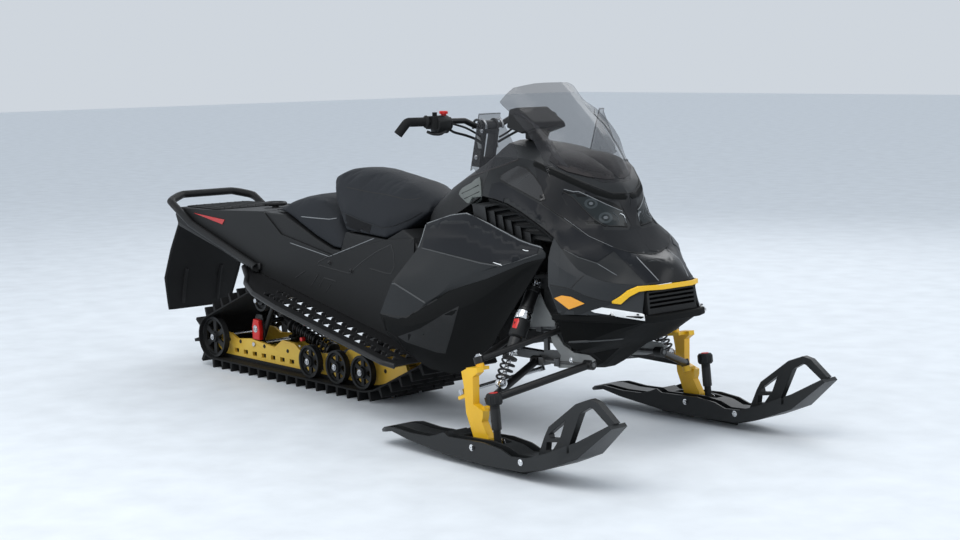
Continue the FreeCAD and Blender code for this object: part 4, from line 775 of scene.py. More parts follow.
# Short white strokes on the side panel: painted highlights
SIDE_HIGHLIGHTS = [
    [(493.5, 262.6), (498, 264.2), (502, 265)],
    [(523, 249.6), (526, 250.6), (529, 250.8)],
]
RIDGE_DARK = [(380.8, 313.4), (393, 316.3), (406.4, 317.3), (421, 308.5), (437.4, 299)]
LOW_FACET = [(398, 336.5), (420, 328.5), (444, 314), (459, 306), (452, 332), (445.5, 353.5), (437, 352.5),
             (406, 342)]
LOW_RIM = [(382.9, 318), (386.1, 331), (396, 337.2), (407, 350.5), (420, 366.6)]
LAMP_INNER = [(560.6, 188), (566.4, 189.9), (580, 192), (597.9, 201.4), (626.6, 213), (627.6, 226.4),
              (604.2, 225.8), (594.9, 220.2), (583.4, 208.7), (572.9, 197.2), (562.5, 191.8)]
LAMP_CORNER = [(563, 192.2), (573, 197.4), (583.6, 208.9), (595.5, 220.8), (591, 222), (583, 220.8),
               (574, 212.5), (566, 202), (561.5, 194)]
# Painted glint on the headlight lens
LAMP_GLINT_SPOT = [(619.5, 213.4), (623, 215.2), (625, 218.5)]
# Reflector bowls; their mid-grey rims and light grey cores are painted glints
LAMP_BOWLS = [((591, 203.6), 6.8, 5.2), ((605.5, 217.8), 7.0, 5.6)]
# Lighter streaks in the headlight lens: painted glints
LAMP_GLINT_STREAKS = [
    [(618.5, 214.5), (622, 213.6), (625.5, 217), (626.2, 223)],
    [(612, 212), (617.5, 216.5), (619, 222.5)],
]
LAMP_LINE = [(563.5, 189.2), (573, 191.6), (578.6, 191.6), (589.8, 196.6), (606.6, 204.6), (622.5, 211.4)]
LAMP_LOW_LINE = [(562.5, 191.8), (572.9, 197.2), (583.4, 208.7), (594.9, 220.2), (604.2, 225.8),
                 (627.6, 226.4)]
SCREEN_RIM = [(534, 163.2), (547, 169.8), (561.7, 176.8), (581.4, 185.8), (597, 192.4), (612.2, 197),
              (627, 197)]
SCREEN_EDGE = [(533.9, 160.4), (547, 166.5), (561.7, 173), (581.4, 181.5), (597, 188), (612.2, 193.4),
               (627, 193.4)]
SCREEN_BAND = [(512.5, 112.5), (524, 117.5), (533, 125.5), (543, 139.5), (551, 152.5), (559.2, 163),
               (576, 174), (590, 180), (602, 184.5), (602, 180), (587, 176), (570, 168.5), (559, 155.5),
               (550, 140), (538, 126), (526, 117)]
DOME = [(550.5, 154.5), (549.3, 161), (558, 167.5), (567.3, 172), (587, 177), (606.6, 179.8),
        (614.5, 179.2), (613, 173.5), (606.6, 168.4), (598, 159.5), (589.8, 153), (570, 150.5)]
MARKER = [(554.9, 298.1), (562.1, 295.4), (571, 296.7), (584.6, 303.5), (577, 306.5), (569.3, 309.2)]
LOW_PLATE = [(591, 310.7), (601.6, 307.5), (622, 310.6), (644.2, 313.9), (644.2, 320.6), (620, 316.8),
             (595.3, 312.7)]
PLATE_DOTS = [(615, 312.7), (637.8, 316.3)]
BELLY_LINE = [(568.5, 342.2), (595, 341), (612, 339.8), (623.3, 338.6)]
BELLY_SEAM = [(558.5, 316.4), (573, 316), (588.9, 315)]
PLATE_LIFT = 0.006
COWL_BORDER = [(469.8, 176.8), (486, 171), (503, 165.2), (519, 159.4)]
DEFLECTOR = [(469.8, 175.6), (474, 145), (478.6, 113.6), (489, 113), (500.5, 112.6), (507, 112.3),
             (512, 125), (518, 142), (522, 157), (506, 164), (486, 171)]
DEFLECTOR_EDGE = [(470.5, 172), (474.4, 145), (478.9, 114.6), (489, 113.8), (500.5, 113.2), (506, 113)]


def middle_pixels(places):
    """Pixels of the hood's middle line, from its rear to its nose."""
    found = []
    for x in places:
        place, _, _, _ = tree_of(["hood"])[0].ray_cast(Vector((x, -0.0004, 3)), Vector((0, 0, -1)))
        if place is not None:
            found.append(pixel_of(place))
    return found


HOOD = ["hood"]
CHEEKS = ["cheeks"]
FRONT = ["belly_pan", "cheeks", "front_bumper", "nose_trim"]
PANELS = ["side_panels", "lower_panels", "hood"]
VENT_PLACE = ["hood", "side_panels", "console"]
LAMPS = ["headlights"]
LAMP_AND_HOOD = ["headlights", "hood"]
# Stretch of the mask's lower edge that gets a painted highlight
MASK_EDGE_HIGHLIGHT_SPAN = slice(2, 7)
UPPER_MASK_END = 628


def lay_hood():
    middle = middle_pixels([1.195, 1.22, 1.245, 1.27, 1.29])
    upper = [p for p in SCREEN_EDGE if p[0] < UPPER_MASK_END]
    mask = MASK_EDGE[:-2] + middle[::-1] + upper[::-1]
    patch("mask_panel", mask, HOOD, "mask_plastic", lift=0.0014, grid=5, step=3)
    patch("hood_side", HOOD_SIDE, HOOD, "navy_plastic", lift=0.0020, grid=4, step=3)
    bead("mask_seam", MASK_EDGE, HOOD, 0.004, "seam_black", 0.0020)
    # Painted highlight along the mask's lower edge, where its rim catches light
    bead("mask_edge_highlight", MASK_EDGE[MASK_EDGE_HIGHLIGHT_SPAN], HOOD, 0.0019, "trim_and_highlight_grey", 0.0028)
    patch("beak_band", BEAK_BAND, HOOD, "navy_plastic", lift=0.0012)
    patch("beak_top", BEAK_TOP, HOOD, "beak_plastic", lift=0.0011)
    # Painted highlight along the beak's edge
    bead("beak_edge_highlight", BEAK_EDGE_HIGHLIGHT, HOOD, 0.0045, "trim_and_highlight_grey", 0.0018)
    # The hood's crease drawn as a lighter band with a brighter line on it: painted highlights along the
    # crease
    bead("hood_crease", HOOD_CREASE, ["hood", "cheeks"], 0.0040, "soft_highlight_grey", 0.0014)
    bead("hood_crease_highlight", HOOD_CREASE[2:], ["hood", "cheeks"], 0.0024, "trim_and_highlight_grey", 0.0020)
    patch("cheek_low", CHEEK_LOW, ["cheeks", "front_bumper"], "body_plastic", lift=0.0008)
    bead("cheek_seam_a", CHEEK_SEAM_A, CHEEKS, 0.003, "seam_black", 0.0012)
    bead("cheek_seam_b", CHEEK_SEAM_B, CHEEKS, 0.003, "seam_black", 0.0016)
    patch("side_window", SIDE_WINDOW, HOOD, "window_plastic", lift=0.0024)
    bead("window_rim", SIDE_WINDOW + SIDE_WINDOW[:1], HOOD, 0.0035, "seam_black", 0.0030)
    bead("window_line", WINDOW_LINE, HOOD, 0.003, "soft_highlight_grey", 0.0030)
    place, normal = cast(LATCH_SPOT, HOOD)
    bolt("window_latch", place + normal * 0.002, normal, 0.005, 0.005, look="black_metal")
    patch("oval_vent", VENT, VENT_PLACE, "vent_grey", lift=0.003, bow=0.004)
    for k, line in enumerate(VENT_SLATS):
        bead("vent_slat_%d" % k, line, VENT_PLACE, 0.003, "black_plastic", 0.0072)


def lay_panels():
    patch("side_gloss", SIDE_GLOSS, PANELS, "navy_plastic", lift=0.0018, grid=5, step=3)
    # Lighter lines along the side panel's top, rear edge, lower ridge and crease: painted highlights
    bead("side_top", SIDE_TOP, PANELS, 0.0042, "trim_and_highlight_grey", 0.0024)
    bead("side_rear", SIDE_REAR, PANELS, 0.0036, "trim_and_highlight_grey", 0.0020)
    bead("side_low", SIDE_LOW, PANELS, 0.006, "soft_highlight_grey", 0.0016)
    bead("side_crease", SIDE_CREASE, PANELS, 0.005, "soft_highlight_grey", 0.0020)
    # Painted highlights on the side panel, drawn in white
    for k, line in enumerate(SIDE_HIGHLIGHTS):
        bead("side_highlight_%d" % k, line, PANELS, 0.0042, "white_plastic_and_highlight", 0.0030)
    bead("ridge_dark", RIDGE_DARK, PANELS, 0.006, "seam_black", 0.0010)
    patch("low_facet", LOW_FACET, PANELS, "black_plastic", lift=0.0008, grid=6, step=3)
    bead("low_rim", LOW_RIM, PANELS, 0.010, "dark_plastic", 0.0030)


def oval(middle, wide, tall, size):
    """Sixteen pixels round an oval of that share of its full width and height."""
    return [(middle[0] + wide * size * math.cos(math.pi * n / 8),
             middle[1] + tall * size * math.sin(math.pi * n / 8)) for n in range(16)]


def lay_lamps():
    patch("lamp_corner", LAMP_CORNER, LAMP_AND_HOOD, "mask_plastic", lift=0.0012, grid=3, step=2)
    patch("lamp_inner", LAMP_INNER, LAMPS, "lamp_dark", lift=0.0010, grid=3, step=2)
    # Raised reflector bowls, each a mid-grey ring round a dark ring and a light grey core: the grey rings
    # and cores are painted glints
    for k, bowl in enumerate(LAMP_BOWLS):
        for size, look, lift in ((1.0, "lamp_mid", 0.0018), (0.6, "lamp_dark", 0.0026),
                                 (0.3, "lamp_grey", 0.0034)):
            patch("lamp_%s_%d" % (look[5:], k), oval(*bowl, size), LAMPS, look, lift=lift, step=1.5, grid=2)
    # Painted glint streaks and a silver painted glint on the lens
    for k, line in enumerate(LAMP_GLINT_STREAKS):
        bead("lamp_slit_%d" % k, line, LAMPS, 0.005, "lamp_mid" if k else "lamp_grey", 0.0022)
    bead("lamp_spark", LAMP_GLINT_SPOT, LAMPS, 0.004, "lamp_silver", 0.0034)
    # Painted highlight along the headlight's upper edge
    bead("lamp_line", LAMP_LINE, LAMP_AND_HOOD, 0.0034, "trim_and_highlight_grey", 0.0026)
    bead("lamp_low_line", LAMP_LOW_LINE, LAMP_AND_HOOD, 0.0045, "seam_black", 0.0026)


def lay_screen_and_nose():
    bead("screen_rim", SCREEN_RIM, HOOD, 0.020, "dark_plastic", 0.0040)
    bead("screen_edge", SCREEN_EDGE, ["windshield", "hood"], 0.006, "seam_black", 0.0030)
    patch("screen_band", SCREEN_BAND, ["windshield"], "screen_band", lift=0.0012, grid=3, step=2.5)
    patch("screen_dome", DOME, HOOD, "dome_brown", lift=0.003, bow=0.012)
    patch("marker", MARKER, ["cheeks", "hood", "belly_pan"], "orange_marker", lift=0.0035)
    patch("low_plate", LOW_PLATE, FRONT, "white_plastic_and_highlight", lift=PLATE_LIFT)
    for k, spot in enumerate(PLATE_DOTS):
        place, normal = cast(spot, FRONT)
        bolt("plate_screw_%d" % k, place + normal * PLATE_LIFT, normal, 0.003, 0.002, look="black_metal")
    # Lighter band along the belly's ridge: painted soft highlight
    bead("belly_line", BELLY_LINE, ["belly_pan"], 0.008, "soft_highlight_grey", 0.0022)
    bead("belly_seam", BELLY_SEAM, ["belly_pan", "cheeks"], 0.004, "seam_black", 0.0012)
    bead("cowl_border", COWL_BORDER, ["hood", "console"], 0.008, "dome_brown", 0.0015)
    patch("deflector", DEFLECTOR, ["wind_deflectors"], "clear_screen", lift=0.0, sink=0.003)
    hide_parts("wind_deflectors")
    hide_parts("wind_deflectors")
    # Painted highlight along the deflector's rim
    bead("deflector_edge", DEFLECTOR_EDGE, ["wind_deflectors"], 0.0030, "clear_edge_highlight", 0.0010)


def on_plane(pixel, axis, value):
    """Point of the photograph's ray where the named coordinate has that value, in metres."""
    ray = photo_ray(pixel)
    k = "xyz".index(axis)
    return CAMERA_PLACE + ray * ((value - CAMERA_PLACE[k]) / ray[k])


def mm(*values):
    return Vector(values) * MM


def sided(point, side):
    """The point on the right for side -1 and on the left for side 1."""
    return Vector((point[0], side * point[1], point[2]))


def put(name, mesh, look, body="root", both=False):
    if both:
        both_sides(name, mesh, look, body)
    else:
        new_piece(name, mesh, look, body)


def bolt(name, place, axis, radius=0.009, height=0.006, look="steel", body="root", both=True):
    """Flanged bolt head with a hollow in its middle."""
    r = radius
    h = height
    profile = [(0.0001, -0.002), (r * 1.5, -0.002), (r * 1.5, h * 0.2), (r, h * 0.3), (r, h * 0.85),
               (r * 0.85, h), (r * 0.5, h), (r * 0.45, h * 0.5), (0.0001, h * 0.5)]
    put(name, lathe_mesh(name, profile, place, axis, 16), look, body, both)


def coil(name, low, high, radius, wire, turns, look, both=False):
    """Coil spring between two points."""
    axis = (high - low).normalized()
    first = axis.cross(Vector((0, 1, 0)) if abs(axis.y) < 0.9 else Vector((1, 0, 0))).normalized()
    second = axis.cross(first)
    count = int(turns * 20)
    path = []
    for k in range(count + 1):
        turn = 2 * math.pi * k / 20
        path.append(low.lerp(high, k / count) + (first * math.cos(turn) + second * math.sin(turn)) * radius)
    put(name, tube_mesh(name, path, wire, 8), look, both=both)


def sleeve(name, profile, low, high, look, body="root", both=False, sides=28):
    """Turned shape from low towards high; profile is (radius, share of the way)."""
    low = Vector(low)
    way = Vector(high) - low
    rows = [(0.0001, profile[0][1] * way.length)]
    rows += [(r, share * way.length) for r, share in profile]
    rows += [(0.0001, profile[-1][1] * way.length)]
    put(name, lathe_mesh(name, rows, low, way, sides), look, body, both)


# Front suspension

SHOCK_TOP = mm(945, -225, 592)
SHOCK_LOW = mm(985, -430, 261.8)
SHOCK_LABEL = [(514.3, 318.8), (518.8, 318.5), (519.3, 321), (516.3, 328.5), (512.3, 327.5), (513.3, 323)]
FOOT_PLATE = [(550, 334.8), (555, 332.2), (563.4, 345), (573.6, 352.7), (588.9, 355.2), (595.3, 360.3),
              (588.9, 364.1), (574.9, 368), (558.3, 368), (560.8, 355.2), (553.2, 345)]
FOOT_HOLES = [(571.7, 360.3)]
TOWER_PLATE = [(532.7, 291.1), (539.6, 292.2), (545.3, 306), (555, 323.2), (554.5, 326.7), (528, 326.7),
               (524.6, 319.8), (528, 308.3)]


FOOT_PLANE = -0.185
TOWER_PLANE = -0.205
SHOCK_PARTS = (
    ("shock_upper", "black_metal", ((0.0245, 0.70), (0.0262, 0.705), (0.0262, 0.73), (0.0247, 0.735),
                                    (0.0247, 0.90), (0.0265, 0.905), (0.0265, 0.945), (0.020, 0.955))),
    ("shock_bracket", "bright_metal", ((0.0255, 0.615), (0.0315, 0.62), (0.0325, 0.64), (0.0325, 0.665),
                                       (0.0295, 0.67), (0.0295, 0.695), (0.0255, 0.70))),
    ("shock_block", "black_plastic", ((0.022, 0.44), (0.0300, 0.455), (0.0315, 0.47), (0.0315, 0.60),
                                      (0.0295, 0.615))),
    ("shock_neck", "black_metal", ((0.0190, 0.335), (0.0235, 0.34), (0.0235, 0.435), (0.0190, 0.44))),
    ("shock_ring", "bright_metal", ((0.0110, 0.295), (0.0215, 0.30), (0.0215, 0.33), (0.0190, 0.335))),
    ("shock_seat", "black_metal", ((0.010, 0.235), (0.027, 0.24), (0.027, 0.255), (0.010, 0.26))),
)
SHOCK_EYE = ((0.0001, -0.013), (0.017, -0.013), (0.0185, -0.010), (0.0185, 0.010), (0.017, 0.013),
             (0.0001, 0.013))
# Clip of the ski adjuster from the side, and the bolts of a ski: along it and upward
ADJUSTER_CLIP = ((1.052, 0.040), (1.116, 0.040), (1.112, 0.070), (1.098, 0.096), (1.072, 0.096),
                 (1.058, 0.070))
SKI_BOLTS = ((1.035, 0.072), (1.28, 0.062))


def make_shock():
    low, top = SHOCK_LOW, SHOCK_TOP
    for name, look, profile in SHOCK_PARTS:
        sleeve(name, profile, low, top, look, both=True)
    SURFACES["shock_block"] = bpy.data.objects["shock_block_right"].data
    patch("shock_label", SHOCK_LABEL, ["shock_block"], "red_plastic", lift=0.0006, grid=2, step=1)
    coil("shock_spring", low.lerp(top, 0.045), low.lerp(top, 0.235), 0.0235, 0.0040, 3.5, "black_metal",
         both=True)
    for name, place in (("shock_eye_top", top), ("shock_eye_low", low)):
        both_sides(name, lathe_mesh(name, SHOCK_EYE, place, (1, 0, 0), 24), "bright_metal")
    bolt("shock_top_bolt", top + mm(15, 0, 0), (1, 0, 0), 0.009, 0.007)
    bolt("shock_low_bolt", low + mm(13, 0, 0), (1, 0, 0), 0.008, 0.006)


def make_front_plates():
    for name, pixels, plane in (("foot_plate", FOOT_PLATE, FOOT_PLANE),
                                ("tower_plate", TOWER_PLATE, TOWER_PLANE)):
        outline = [on_plane(p, "y", plane) for p in pixels]
        both_sides(name, plate_mesh(name, outline, (0, 0.004, 0), 0.001), "cast_grey")
    for k, spot in enumerate(FOOT_HOLES):
        bolt("foot_bolt_%d" % k, on_plane(spot, "y", FOOT_PLANE - 0.001), (0, -1, 0), 0.007,
             look="bright_metal")


def make_adjuster(side, mark):
    """Ribbed knob, stem and clip that stand on a ski, with the ski's bolts."""
    y = side * 0.54
    body = "ski_" + mark
    foot = Vector((1.092, y, 0.046))
    head = Vector((1.068, y, 0.255))
    sleeve("adjuster_knob_" + mark, [(0.016, 0.80), (0.025, 0.81), (0.027, 0.83), (0.027, 0.97),
                                     (0.024, 0.995)],
           foot, head, "black_plastic", body, sides=20)
    axis = (head - foot).normalized()
    first = axis.cross(Vector((0, 1, 0))).normalized()
    for k in range(10):
        turn = 2 * math.pi * k / 10
        out = first * math.cos(turn) + axis.cross(first) * math.sin(turn)
        rib = [foot.lerp(head, s) + out * 0.027 for s in (0.835, 0.965)]
        tube("adjuster_rib_%s_%d" % (mark, k), rib, 0.0022, "black_plastic", body, 6)
    for face in (-1, 1):
        points = [Vector((a, y + face * 0.019, b)) for a, b in ADJUSTER_CLIP]
        plate("adjuster_clip_%s_%d" % (mark, face + 1), points, (0, face * 0.003, 0), 0.001, "steel", body)
    sleeve("adjuster_stem_" + mark, [(0.0165, 0.40), (0.0175, 0.42), (0.0175, 0.74), (0.0135, 0.76),
                                     (0.0135, 0.80)],
           foot, head, "black_metal", body, sides=20)
    sleeve("adjuster_cap_" + mark, [(0.010, 0.99), (0.016, 0.993), (0.014, 1.01)], foot, head,
           "red_plastic", body, sides=16)
    for k, (x, z) in enumerate(SKI_BOLTS):
        for face in (-1, 1):
            bolt("ski_bolt_%s_%d_%d" % (mark, k, face + 1), Vector((x, y + face * 0.0745, z)), (0, face, 0),
                 0.0075, 0.005, "bright_metal", body, both=False)


def make_front_details():
    make_shock()
    make_front_plates()
    for side, mark in SIDES:
        bolt("king_top_nut_" + mark, Vector((0.948, side * 0.5, 0.362)), (-0.38, 0, 0.92), 0.010, 0.008,
             body="spindle_" + mark, both=False)
        make_adjuster(side, mark)


# Skid

SKID_SHOCKS = (
    ((-0.337, 0, 0.1155), (-0.205, 0, 0.230)),
    ((-0.530, 0, 0.1155), (-0.945, 0, 0.2365)),
)
WHEEL_SPOTS = ((-1.269, 0.138), (-0.530, 0.1155), (-0.337, 0.1155), (-0.163, 0.1155))
RAIL_BOLTS = (-1.21, -1.12, -0.93, -0.75, -0.42, -0.22, -0.06)
RAIL_BRACKET = ((-1.045, 0.150), (-0.965, 0.150), (-0.955, 0.185), (-0.975, 0.262), (-1.020, 0.262),
                (-1.040, 0.225))
STOP_SPOT = (-0.992, 0.196)
STOP_BLOCK = ((-0.028, -0.045), (0.026, -0.045), (0.030, -0.010), (0.022, 0.044), (-0.018, 0.048),
              (-0.030, 0.012))
RED_STUD = ((0.0001, 0), (0.009, 0), (0.009, 0.016), (0.0001, 0.018))
OUTWARD = (0, -1, 0)


def make_skid_details():
    for k, (low, top) in enumerate(SKID_SHOCKS):
        low, top = Vector(low), Vector(top)
        coil("skid_spring_%d" % k, low.lerp(top, 0.16), low.lerp(top, 0.80), 0.031, 0.0045, 9,
             "black_metal")
        sleeve("skid_seat_%d" % k, [(0.024, 0.12), (0.036, 0.13), (0.036, 0.155), (0.024, 0.16)], low, top,
               "black_metal")
        sleeve("skid_collar_%d" % k, [(0.024, 0.80), (0.036, 0.81), (0.036, 0.835), (0.024, 0.84)], low,
               top, "black_metal")
    both_sides("red_stud", lathe_mesh("red_stud", RED_STUD, (-0.625, -0.1247, 0.196), OUTWARD, 14),
               "red_plastic")
    outline = [Vector((a, -0.1035, b)) for a, b in RAIL_BRACKET]
    both_sides("rail_bracket", plate_mesh("rail_bracket", outline, (0, 0.005, 0), 0.001), "black_metal")
    x, z = STOP_SPOT
    outline = [Vector((x + a, -0.1275, z + b)) for a, b in STOP_BLOCK]
    both_sides("stop_block_0", plate_mesh("stop_block_0", outline, (0, 0.022, 0), 0.004), "red_plastic")
    bolt("stop_bolt_0", Vector((x, -0.1285, z + 0.004)), OUTWARD, 0.011, 0.005)
    for k, x in enumerate(RAIL_BOLTS):
        bolt("rail_bolt_%d" % k, Vector((x, -0.1247, 0.128)), OUTWARD, 0.006, 0.004, look="black_metal")
    for k, (x, z) in enumerate(WHEEL_SPOTS):
        bolt("wheel_bolt_%d" % k, Vector((x, -0.1795, z)), OUTWARD, 0.009, 0.006)


# Steering

SWITCH_PLACE = (0.436, 0.226, 1.145)
SWITCH_OUTLINE = ((-0.030, -0.014), (-0.020, -0.034), (0.014, -0.037), (0.030, -0.016), (0.031, 0.012),
                  (0.016, 0.030), (-0.016, 0.031), (-0.031, 0.014))
LEVER = ((0.012, -0.01, -0.026), (0.014, 0.012, -0.036), (0.002, 0.036, -0.036), (-0.010, 0.056, -0.028))
# Cables: name, radius, start from the switch, and the points that they pass
CABLES = (
    ("cable_", 0.0048, (0.014, -0.026, -0.016),
     ((0.454, 0.175, 1.112), (0.463, 0.125, 1.098), (0.466, 0.078, 1.082), (0.458, 0.045, 1.066))),
    ("cable_upper_", 0.004, (0.020, -0.026, 0.004),
     ((0.464, 0.175, 1.140), (0.472, 0.13, 1.126), (0.474, 0.075, 1.100), (0.464, 0.045, 1.084))),
)
STOP_SWITCH = (0.436, -0.208, 1.172)
CLAMP_SPOTS = (-0.055, -0.030, 0.030, 0.055)
CLAMP_RADIUS = 0.0235
RISER_PLATE = ((0.441, 1.044), (0.461, 1.044), (0.449, 1.100), (0.429, 1.100))
RISER_BOLTS = ((0.460, 1.112), (0.424, 1.010))
RISER_FACE = 0.0405


def make_controls():
    body = "steering"
    for side, mark in SIDES:
        place = sided(SWITCH_PLACE, side)
        points = [place + Vector((a, side * -0.030, b)) for a, b in SWITCH_OUTLINE]
        plate("switch_housing_" + mark, points, (0, side * 0.058, 0), 0.005, "black_plastic", body)
        points = [place + Vector((a * 0.8, side * -0.044, b * 0.8)) for a, b in SWITCH_OUTLINE]
        plate("switch_neck_" + mark, points, (0, side * 0.014, 0), 0.003, "black_plastic", body)
        lever = smooth_path([place + sided(p, side) for p in LEVER])
        grow = [1.0 - 0.35 * k / len(lever) for k in range(len(lever))]
        tube("lever_" + mark, lever, 0.0115, "black_metal", body, 10, flat=0.7, grow=grow)
        sleeve("bar_flange_" + mark, [(0.020, 0), (0.0235, 0.25), (0.0235, 0.6), (0.0185, 1)],
               (0.4305, side * 0.284, 1.154), (0.4275, side * 0.296, 1.1545), "rubber", body)
        for name, radius, start, passed in CABLES:
            path = smooth_path([place + sided(start, side)] + [sided(p, side) for p in passed], 8)
            tube(name + mark, path, radius, "rubber", body, 10)
    place = Vector(STOP_SWITCH)
    sleeve("stop_switch", [(0.0105, 0), (0.0105, 0.4), (0.016, 0.45), (0.017, 0.9), (0.014, 1.0)],
           place, place + Vector((0, 0, 0.020)), "red_plastic", body)
    for k, y in enumerate(CLAMP_SPOTS):
        path = [Vector((0.4265, y, 1.118))]
        for step in range(9):
            turn = math.pi * step / 8
            path.append(Vector((0.450 - CLAMP_RADIUS * math.cos(turn), y,
                                1.130 + CLAMP_RADIUS * math.sin(turn))))
        path.append(Vector((0.4735, y, 1.118)))
        tube("bar_clamp_%d" % k, path, 0.0046, "steel" if k % 2 else "black_metal", body, 10)
    for side, mark in SIDES:
        points = [Vector((a, side * RISER_FACE, b)) for a, b in RISER_PLATE]
        plate("riser_plate_" + mark, points, (0, side * 0.003, 0), 0.0012, "cast_grey", body)
        for k, (x, z) in enumerate(RISER_BOLTS):
            bolt("riser_bolt_%s_%d" % (mark, k), Vector((x, side * RISER_FACE, z)), (0, side, 0), 0.006,
                 0.005, body=body, both=False)


# Tail, boards, covers and seats

FLAP_ROWS = ((-1.4925, 0.667, 0.190), (-1.560, 0.520, 0.205), (-1.625, 0.380, 0.205),
             (-1.6585, 0.228, 0.170))
FLAP_RIBS = (-0.095, 0.095)
RIB_LEVELS = (0.42, 0.40, 0.36, 0.30, 0.25)
BAND_LEVELS = (0.43, 0.56)
# Grab bar on the right, in mm, up to the middle of the machine
GRAB_SIDE = 228.8
GRAB_PATH = ((-820, -GRAB_SIDE, 500), (-1100, -GRAB_SIDE, 585.1), (-1320, -GRAB_SIDE, 652),
             (-1352, -GRAB_SIDE, 666.5), (-1490, -GRAB_SIDE, 740.5), (-1512, -222, 752.5),
             (-1536, -180, 765.5), (-1547, -150, 771.5), (-1552, -118, 774), (-1552, 0, 774))
GRAB_FOOT = ((-870, 470), (-800, 492), (-800, 520), (-880, 505))
DECK = ((-1.462, 0.168), (-1.22, 0.176), (-1.19, 0.150), (-1.19, -0.150), (-1.22, -0.176), (-1.462, -0.168),
        (-1.475, -0.14), (-1.475, 0.14))
RING_MIDDLE = (-1.02, 0.02)
RING_RADIUS = 0.044
RING_LEVEL = 0.750
# Grip teeth: rows across, places along in each step, and a tooth's foot
TOOTH_ROWS = (-0.287, -0.352)
TOOTH_SHIFTS = (-0.003, 0.037)
TOOTH_START = -0.560
TOOTH_STEP = 0.068
TOOTH_FOOT = ((-0.0025, -0.014), (0.0025, -0.014), (0.0025, 0.014), (-0.0025, 0.014))
# Black sheet inside the hood, painted shade behind its openings, from rear to front: x, half width, bottom
# and top
SHADE_SHROUD_ROWS = ((0.52, 0.150, 0.47, 0.86), (0.80, 0.165, 0.47, 0.84), (1.00, 0.150, 0.50, 0.74),
               (1.12, 0.120, 0.52, 0.66))
BOLT_SPOTS = [(329.5, 263.3), (351.2, 271.2)]
COVER_LINES = [
    [(290, 242.8), (310, 249.8), (329, 256.6)],
    [(329, 256.6), (352, 247.4), (374.4, 238.2)],
    [(328, 256.8), (318.5, 262), (318, 265), (349, 273.5), (362, 262), (376, 252), (391, 244.5)],
    [(391, 244.5), (393.5, 252), (394.5, 266), (391.5, 273.5), (386, 273.5), (370, 268.5)],
    [(295, 278), (306, 270.5)],
    [(311, 286), (318.5, 274)],
    [(319, 287), (324, 278), (336, 281.5)],
    [(326, 292), (331, 284)],
]
SEAT_LOWER = [(337.5, 208.8), (342.8, 211.8), (363.5, 221), (381.8, 227.3), (393.3, 225.8), (410.5, 218.7),
              (422, 212)]
SEAT_BAND = [(338.5, 210.6), (343, 213), (353, 217.7), (363.5, 222.4), (371.5, 225.2), (369, 235.5),
             (354.3, 229.4), (341.5, 223.8)]
SEAT_CREASE = [(346, 187), (366, 191.5), (387.6, 194.8), (404.8, 199.4), (414, 199.5), (422, 197.5)]
BACK_SEAM = [(301, 216.6), (315, 218), (329, 219.2), (337, 218.2)]
DARK_SLOT = [(408.8, 243.6), (412.3, 237.3), (413, 239.4), (410, 244.6)]


def flap_at(z):
    for (x0, z0, w0), (x1, z1, w1) in zip(FLAP_ROWS, FLAP_ROWS[1:]):
        if z1 <= z <= z0:
            share = (z0 - z) / (z0 - z1)
            return x0 + (x1 - x0) * share, w0 + (w1 - w0) * share
    return FLAP_ROWS[-1][0], FLAP_ROWS[-1][2]


def board_level(x):
    return 0.310 - 0.2 * x


def make_tail():
    for k, y in enumerate(FLAP_RIBS):
        for face in (-1, 1):
            path = []
            for z in RIB_LEVELS:
                x, _ = flap_at(z)
                path.append(Vector((x + face * 0.0035, y, z)))
            tube("flap_rib_%d_%d" % (k, face + 1), path, 0.009, "rubber")
    for k, z in enumerate(BAND_LEVELS):
        x, half = flap_at(z)
        path = [Vector((x - 0.003, y * half * 0.94, z)) for y in (-1, -0.5, 0, 0.5, 1)]
        tube("flap_band_%d" % k, path, 0.006, "rubber")
    border = []
    for side in (-1, 1):
        rows = FLAP_ROWS if side < 0 else FLAP_ROWS[::-1]
        for x, z, half in rows:
            border.append(Vector((x, side * (half - 0.004), z)))
    tube("flap_hem", split_line(border, 0.03), 0.0065, "rubber")
    path = [mm(*p) for p in GRAB_PATH]
    whole = path + [Vector((p.x, -p.y, p.z)) for p in reversed(path[:-1])]
    tube("grab_tube", smooth_path(whole), 0.0168, "black_metal", sides=16)
    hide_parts("grab_bar")
    for side, mark in SIDES:
        sleeve("grab_end_" + mark, [(0.0168, -0.2), (0.019, 0), (0.019, 1)],
               mm(-832, side * GRAB_SIDE, 496.4), mm(-820, side * GRAB_SIDE, 500), "black_plastic")
        foot = [mm(x, side * 212, z) for x, z in GRAB_FOOT]
        plate("grab_foot_" + mark, foot, (0, side * 0.012, 0), 0.003, "black_metal")
    points = [Vector((x, y, 0.7245)) for x, y in DECK]
    plate("tail_mat", points, (0, 0, 0.004), 0.0015, "rubber")
    for k in range(7):
        y = -0.126 + 0.042 * k
        path = [Vector((-1.45, y, 0.7285)), Vector((-1.30, y, 0.7290)), Vector((-1.215, y, 0.7285))]
        tube("tail_rib_%d" % k, path, 0.0042, "black_plastic", flat=0.8)
    middle = Vector((*RING_MIDDLE, RING_LEVEL))
    ring = [ring_point(middle, k / 24) for k in range(24)]
    tube("rope_ring", ring, 0.0085, "black_plastic", sides=10, closed=True)
    sleeve("ring_post", [(0.017, 0), (0.014, 0.6), (0.020, 0.9), (0.012, 1.0)], (*RING_MIDDLE, 0.728),
           (*RING_MIDDLE, 0.756), "black_plastic")
    for k in range(3):
        tube("ring_spoke_%d" % k, [middle, ring_point(middle, k / 3)], 0.005, "black_plastic")


def ring_point(middle, share):
    turn = 2 * math.pi * share
    return middle + Vector((math.cos(turn), math.sin(turn), 0)) * RING_RADIUS


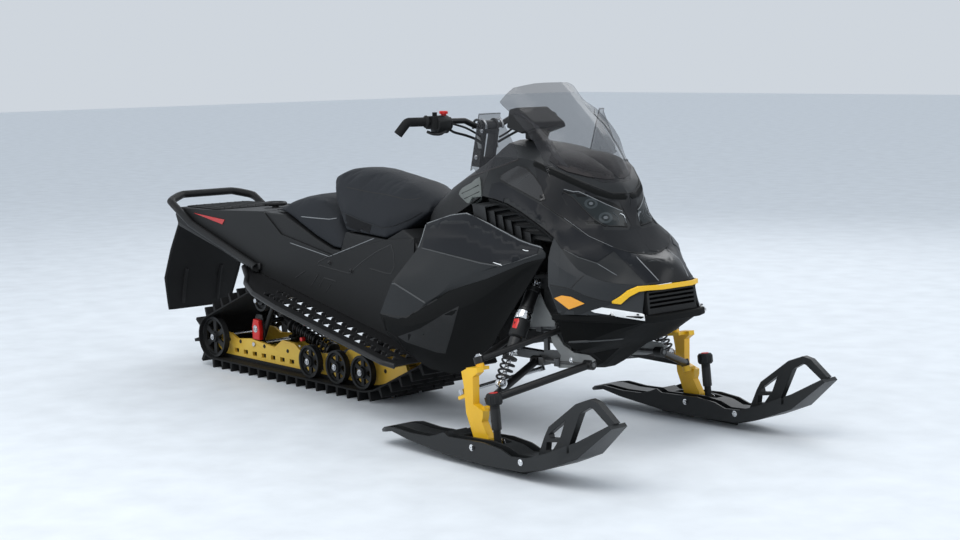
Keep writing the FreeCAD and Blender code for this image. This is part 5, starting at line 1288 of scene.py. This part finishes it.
def make_board_teeth():
    """Pressed-up grip teeth beside the slots of the running boards."""
    bm = bmesh.new()
    for i in range(13):
        for y in TOOTH_ROWS:
            for shift in TOOTH_SHIFTS:
                at = TOOTH_START + TOOTH_STEP * i + shift
                z = board_level(at)
                low = [bm.verts.new((at + a, y + b, z - 0.0015)) for a, b in TOOTH_FOOT]
                high = [bm.verts.new((at + a * 0.6, y + b * 0.72, z + 0.0075)) for a, b in TOOTH_FOOT]
                ring_faces(bm, [low, high])
    both_sides("board_teeth", mesh_from(bm, "board_teeth", 20), "black_metal")


def make_cover_details():
    covers = ["side_covers", "seat_base", "lower_panels", "side_panels", "tunnel"]
    for k, line in enumerate(COVER_LINES):
        # The first two lines are lighter: painted highlights along the covers' edges; the rest are dark
        # joints
        light = k < 2
        bead("cover_line_%d" % k, line, covers, 0.0034 if light else 0.005,
             "trim_and_highlight_grey" if light else "black_metal", lift=0.0012)
    for k, spot in enumerate(BOLT_SPOTS):
        place, normal = cast(spot, covers)
        if place is not None:
            bolt("cover_bolt_%d" % k, place, normal, 0.008, 0.006, look="black_metal")
    patch("dark_slot", DARK_SLOT, covers + ["hood", "console"], "seam_black", lift=0.001)


def make_seat_lines():
    pads = ["driver_seat_pad"]
    patch("seat_band", SEAT_BAND, pads, "vinyl_dark", lift=0.0012, grid=4, step=3)
    bead("seat_seam_low", SEAT_LOWER, pads, 0.0045, "vinyl", lift=0.0022)
    bead("seat_seam_dark", [(x, y + 0.7) for x, y in SEAT_LOWER], pads, 0.003, "seam_black", lift=0.0008)
    bead("seat_seam_high", SEAT_CREASE, pads, 0.0035, "seam_black", lift=0.0006)
    bead("back_seam", BACK_SEAM, ["passenger_seat_pad"], 0.004, "trim_and_highlight_grey", lift=0.0012)


def make_shade_shroud():
    """Black sheet inside the hood: painted shade seen through its openings."""
    bm = bmesh.new()
    rings = []
    for x, half, low, high in SHADE_SHROUD_ROWS:
        outline = ((-half, low), (-half, high - 0.06), (-half * 0.7, high), (half * 0.7, high),
                   (half, high - 0.06), (half, low))
        rings.append([bm.verts.new((x, y, z)) for y, z in outline])
    ring_faces(bm, rings)
    new_piece("inner_shroud", mesh_from(bm, "inner_shroud", 20), "seam_black")


# Order of work

make_camera()
make_studio()
for node_name in NODES:
    if node_name not in ("driver_seat", "passenger_seat", "wind_deflectors"):
        dress(node_name)
make_seat("driver_seat")
make_seat("passenger_seat")
make_shade_shroud()
lay_hood()
lay_panels()
lay_lamps()
lay_screen_and_nose()
make_front_details()
make_skid_details()
make_controls()
make_tail()
make_board_teeth()
make_cover_details()
make_seat_lines()
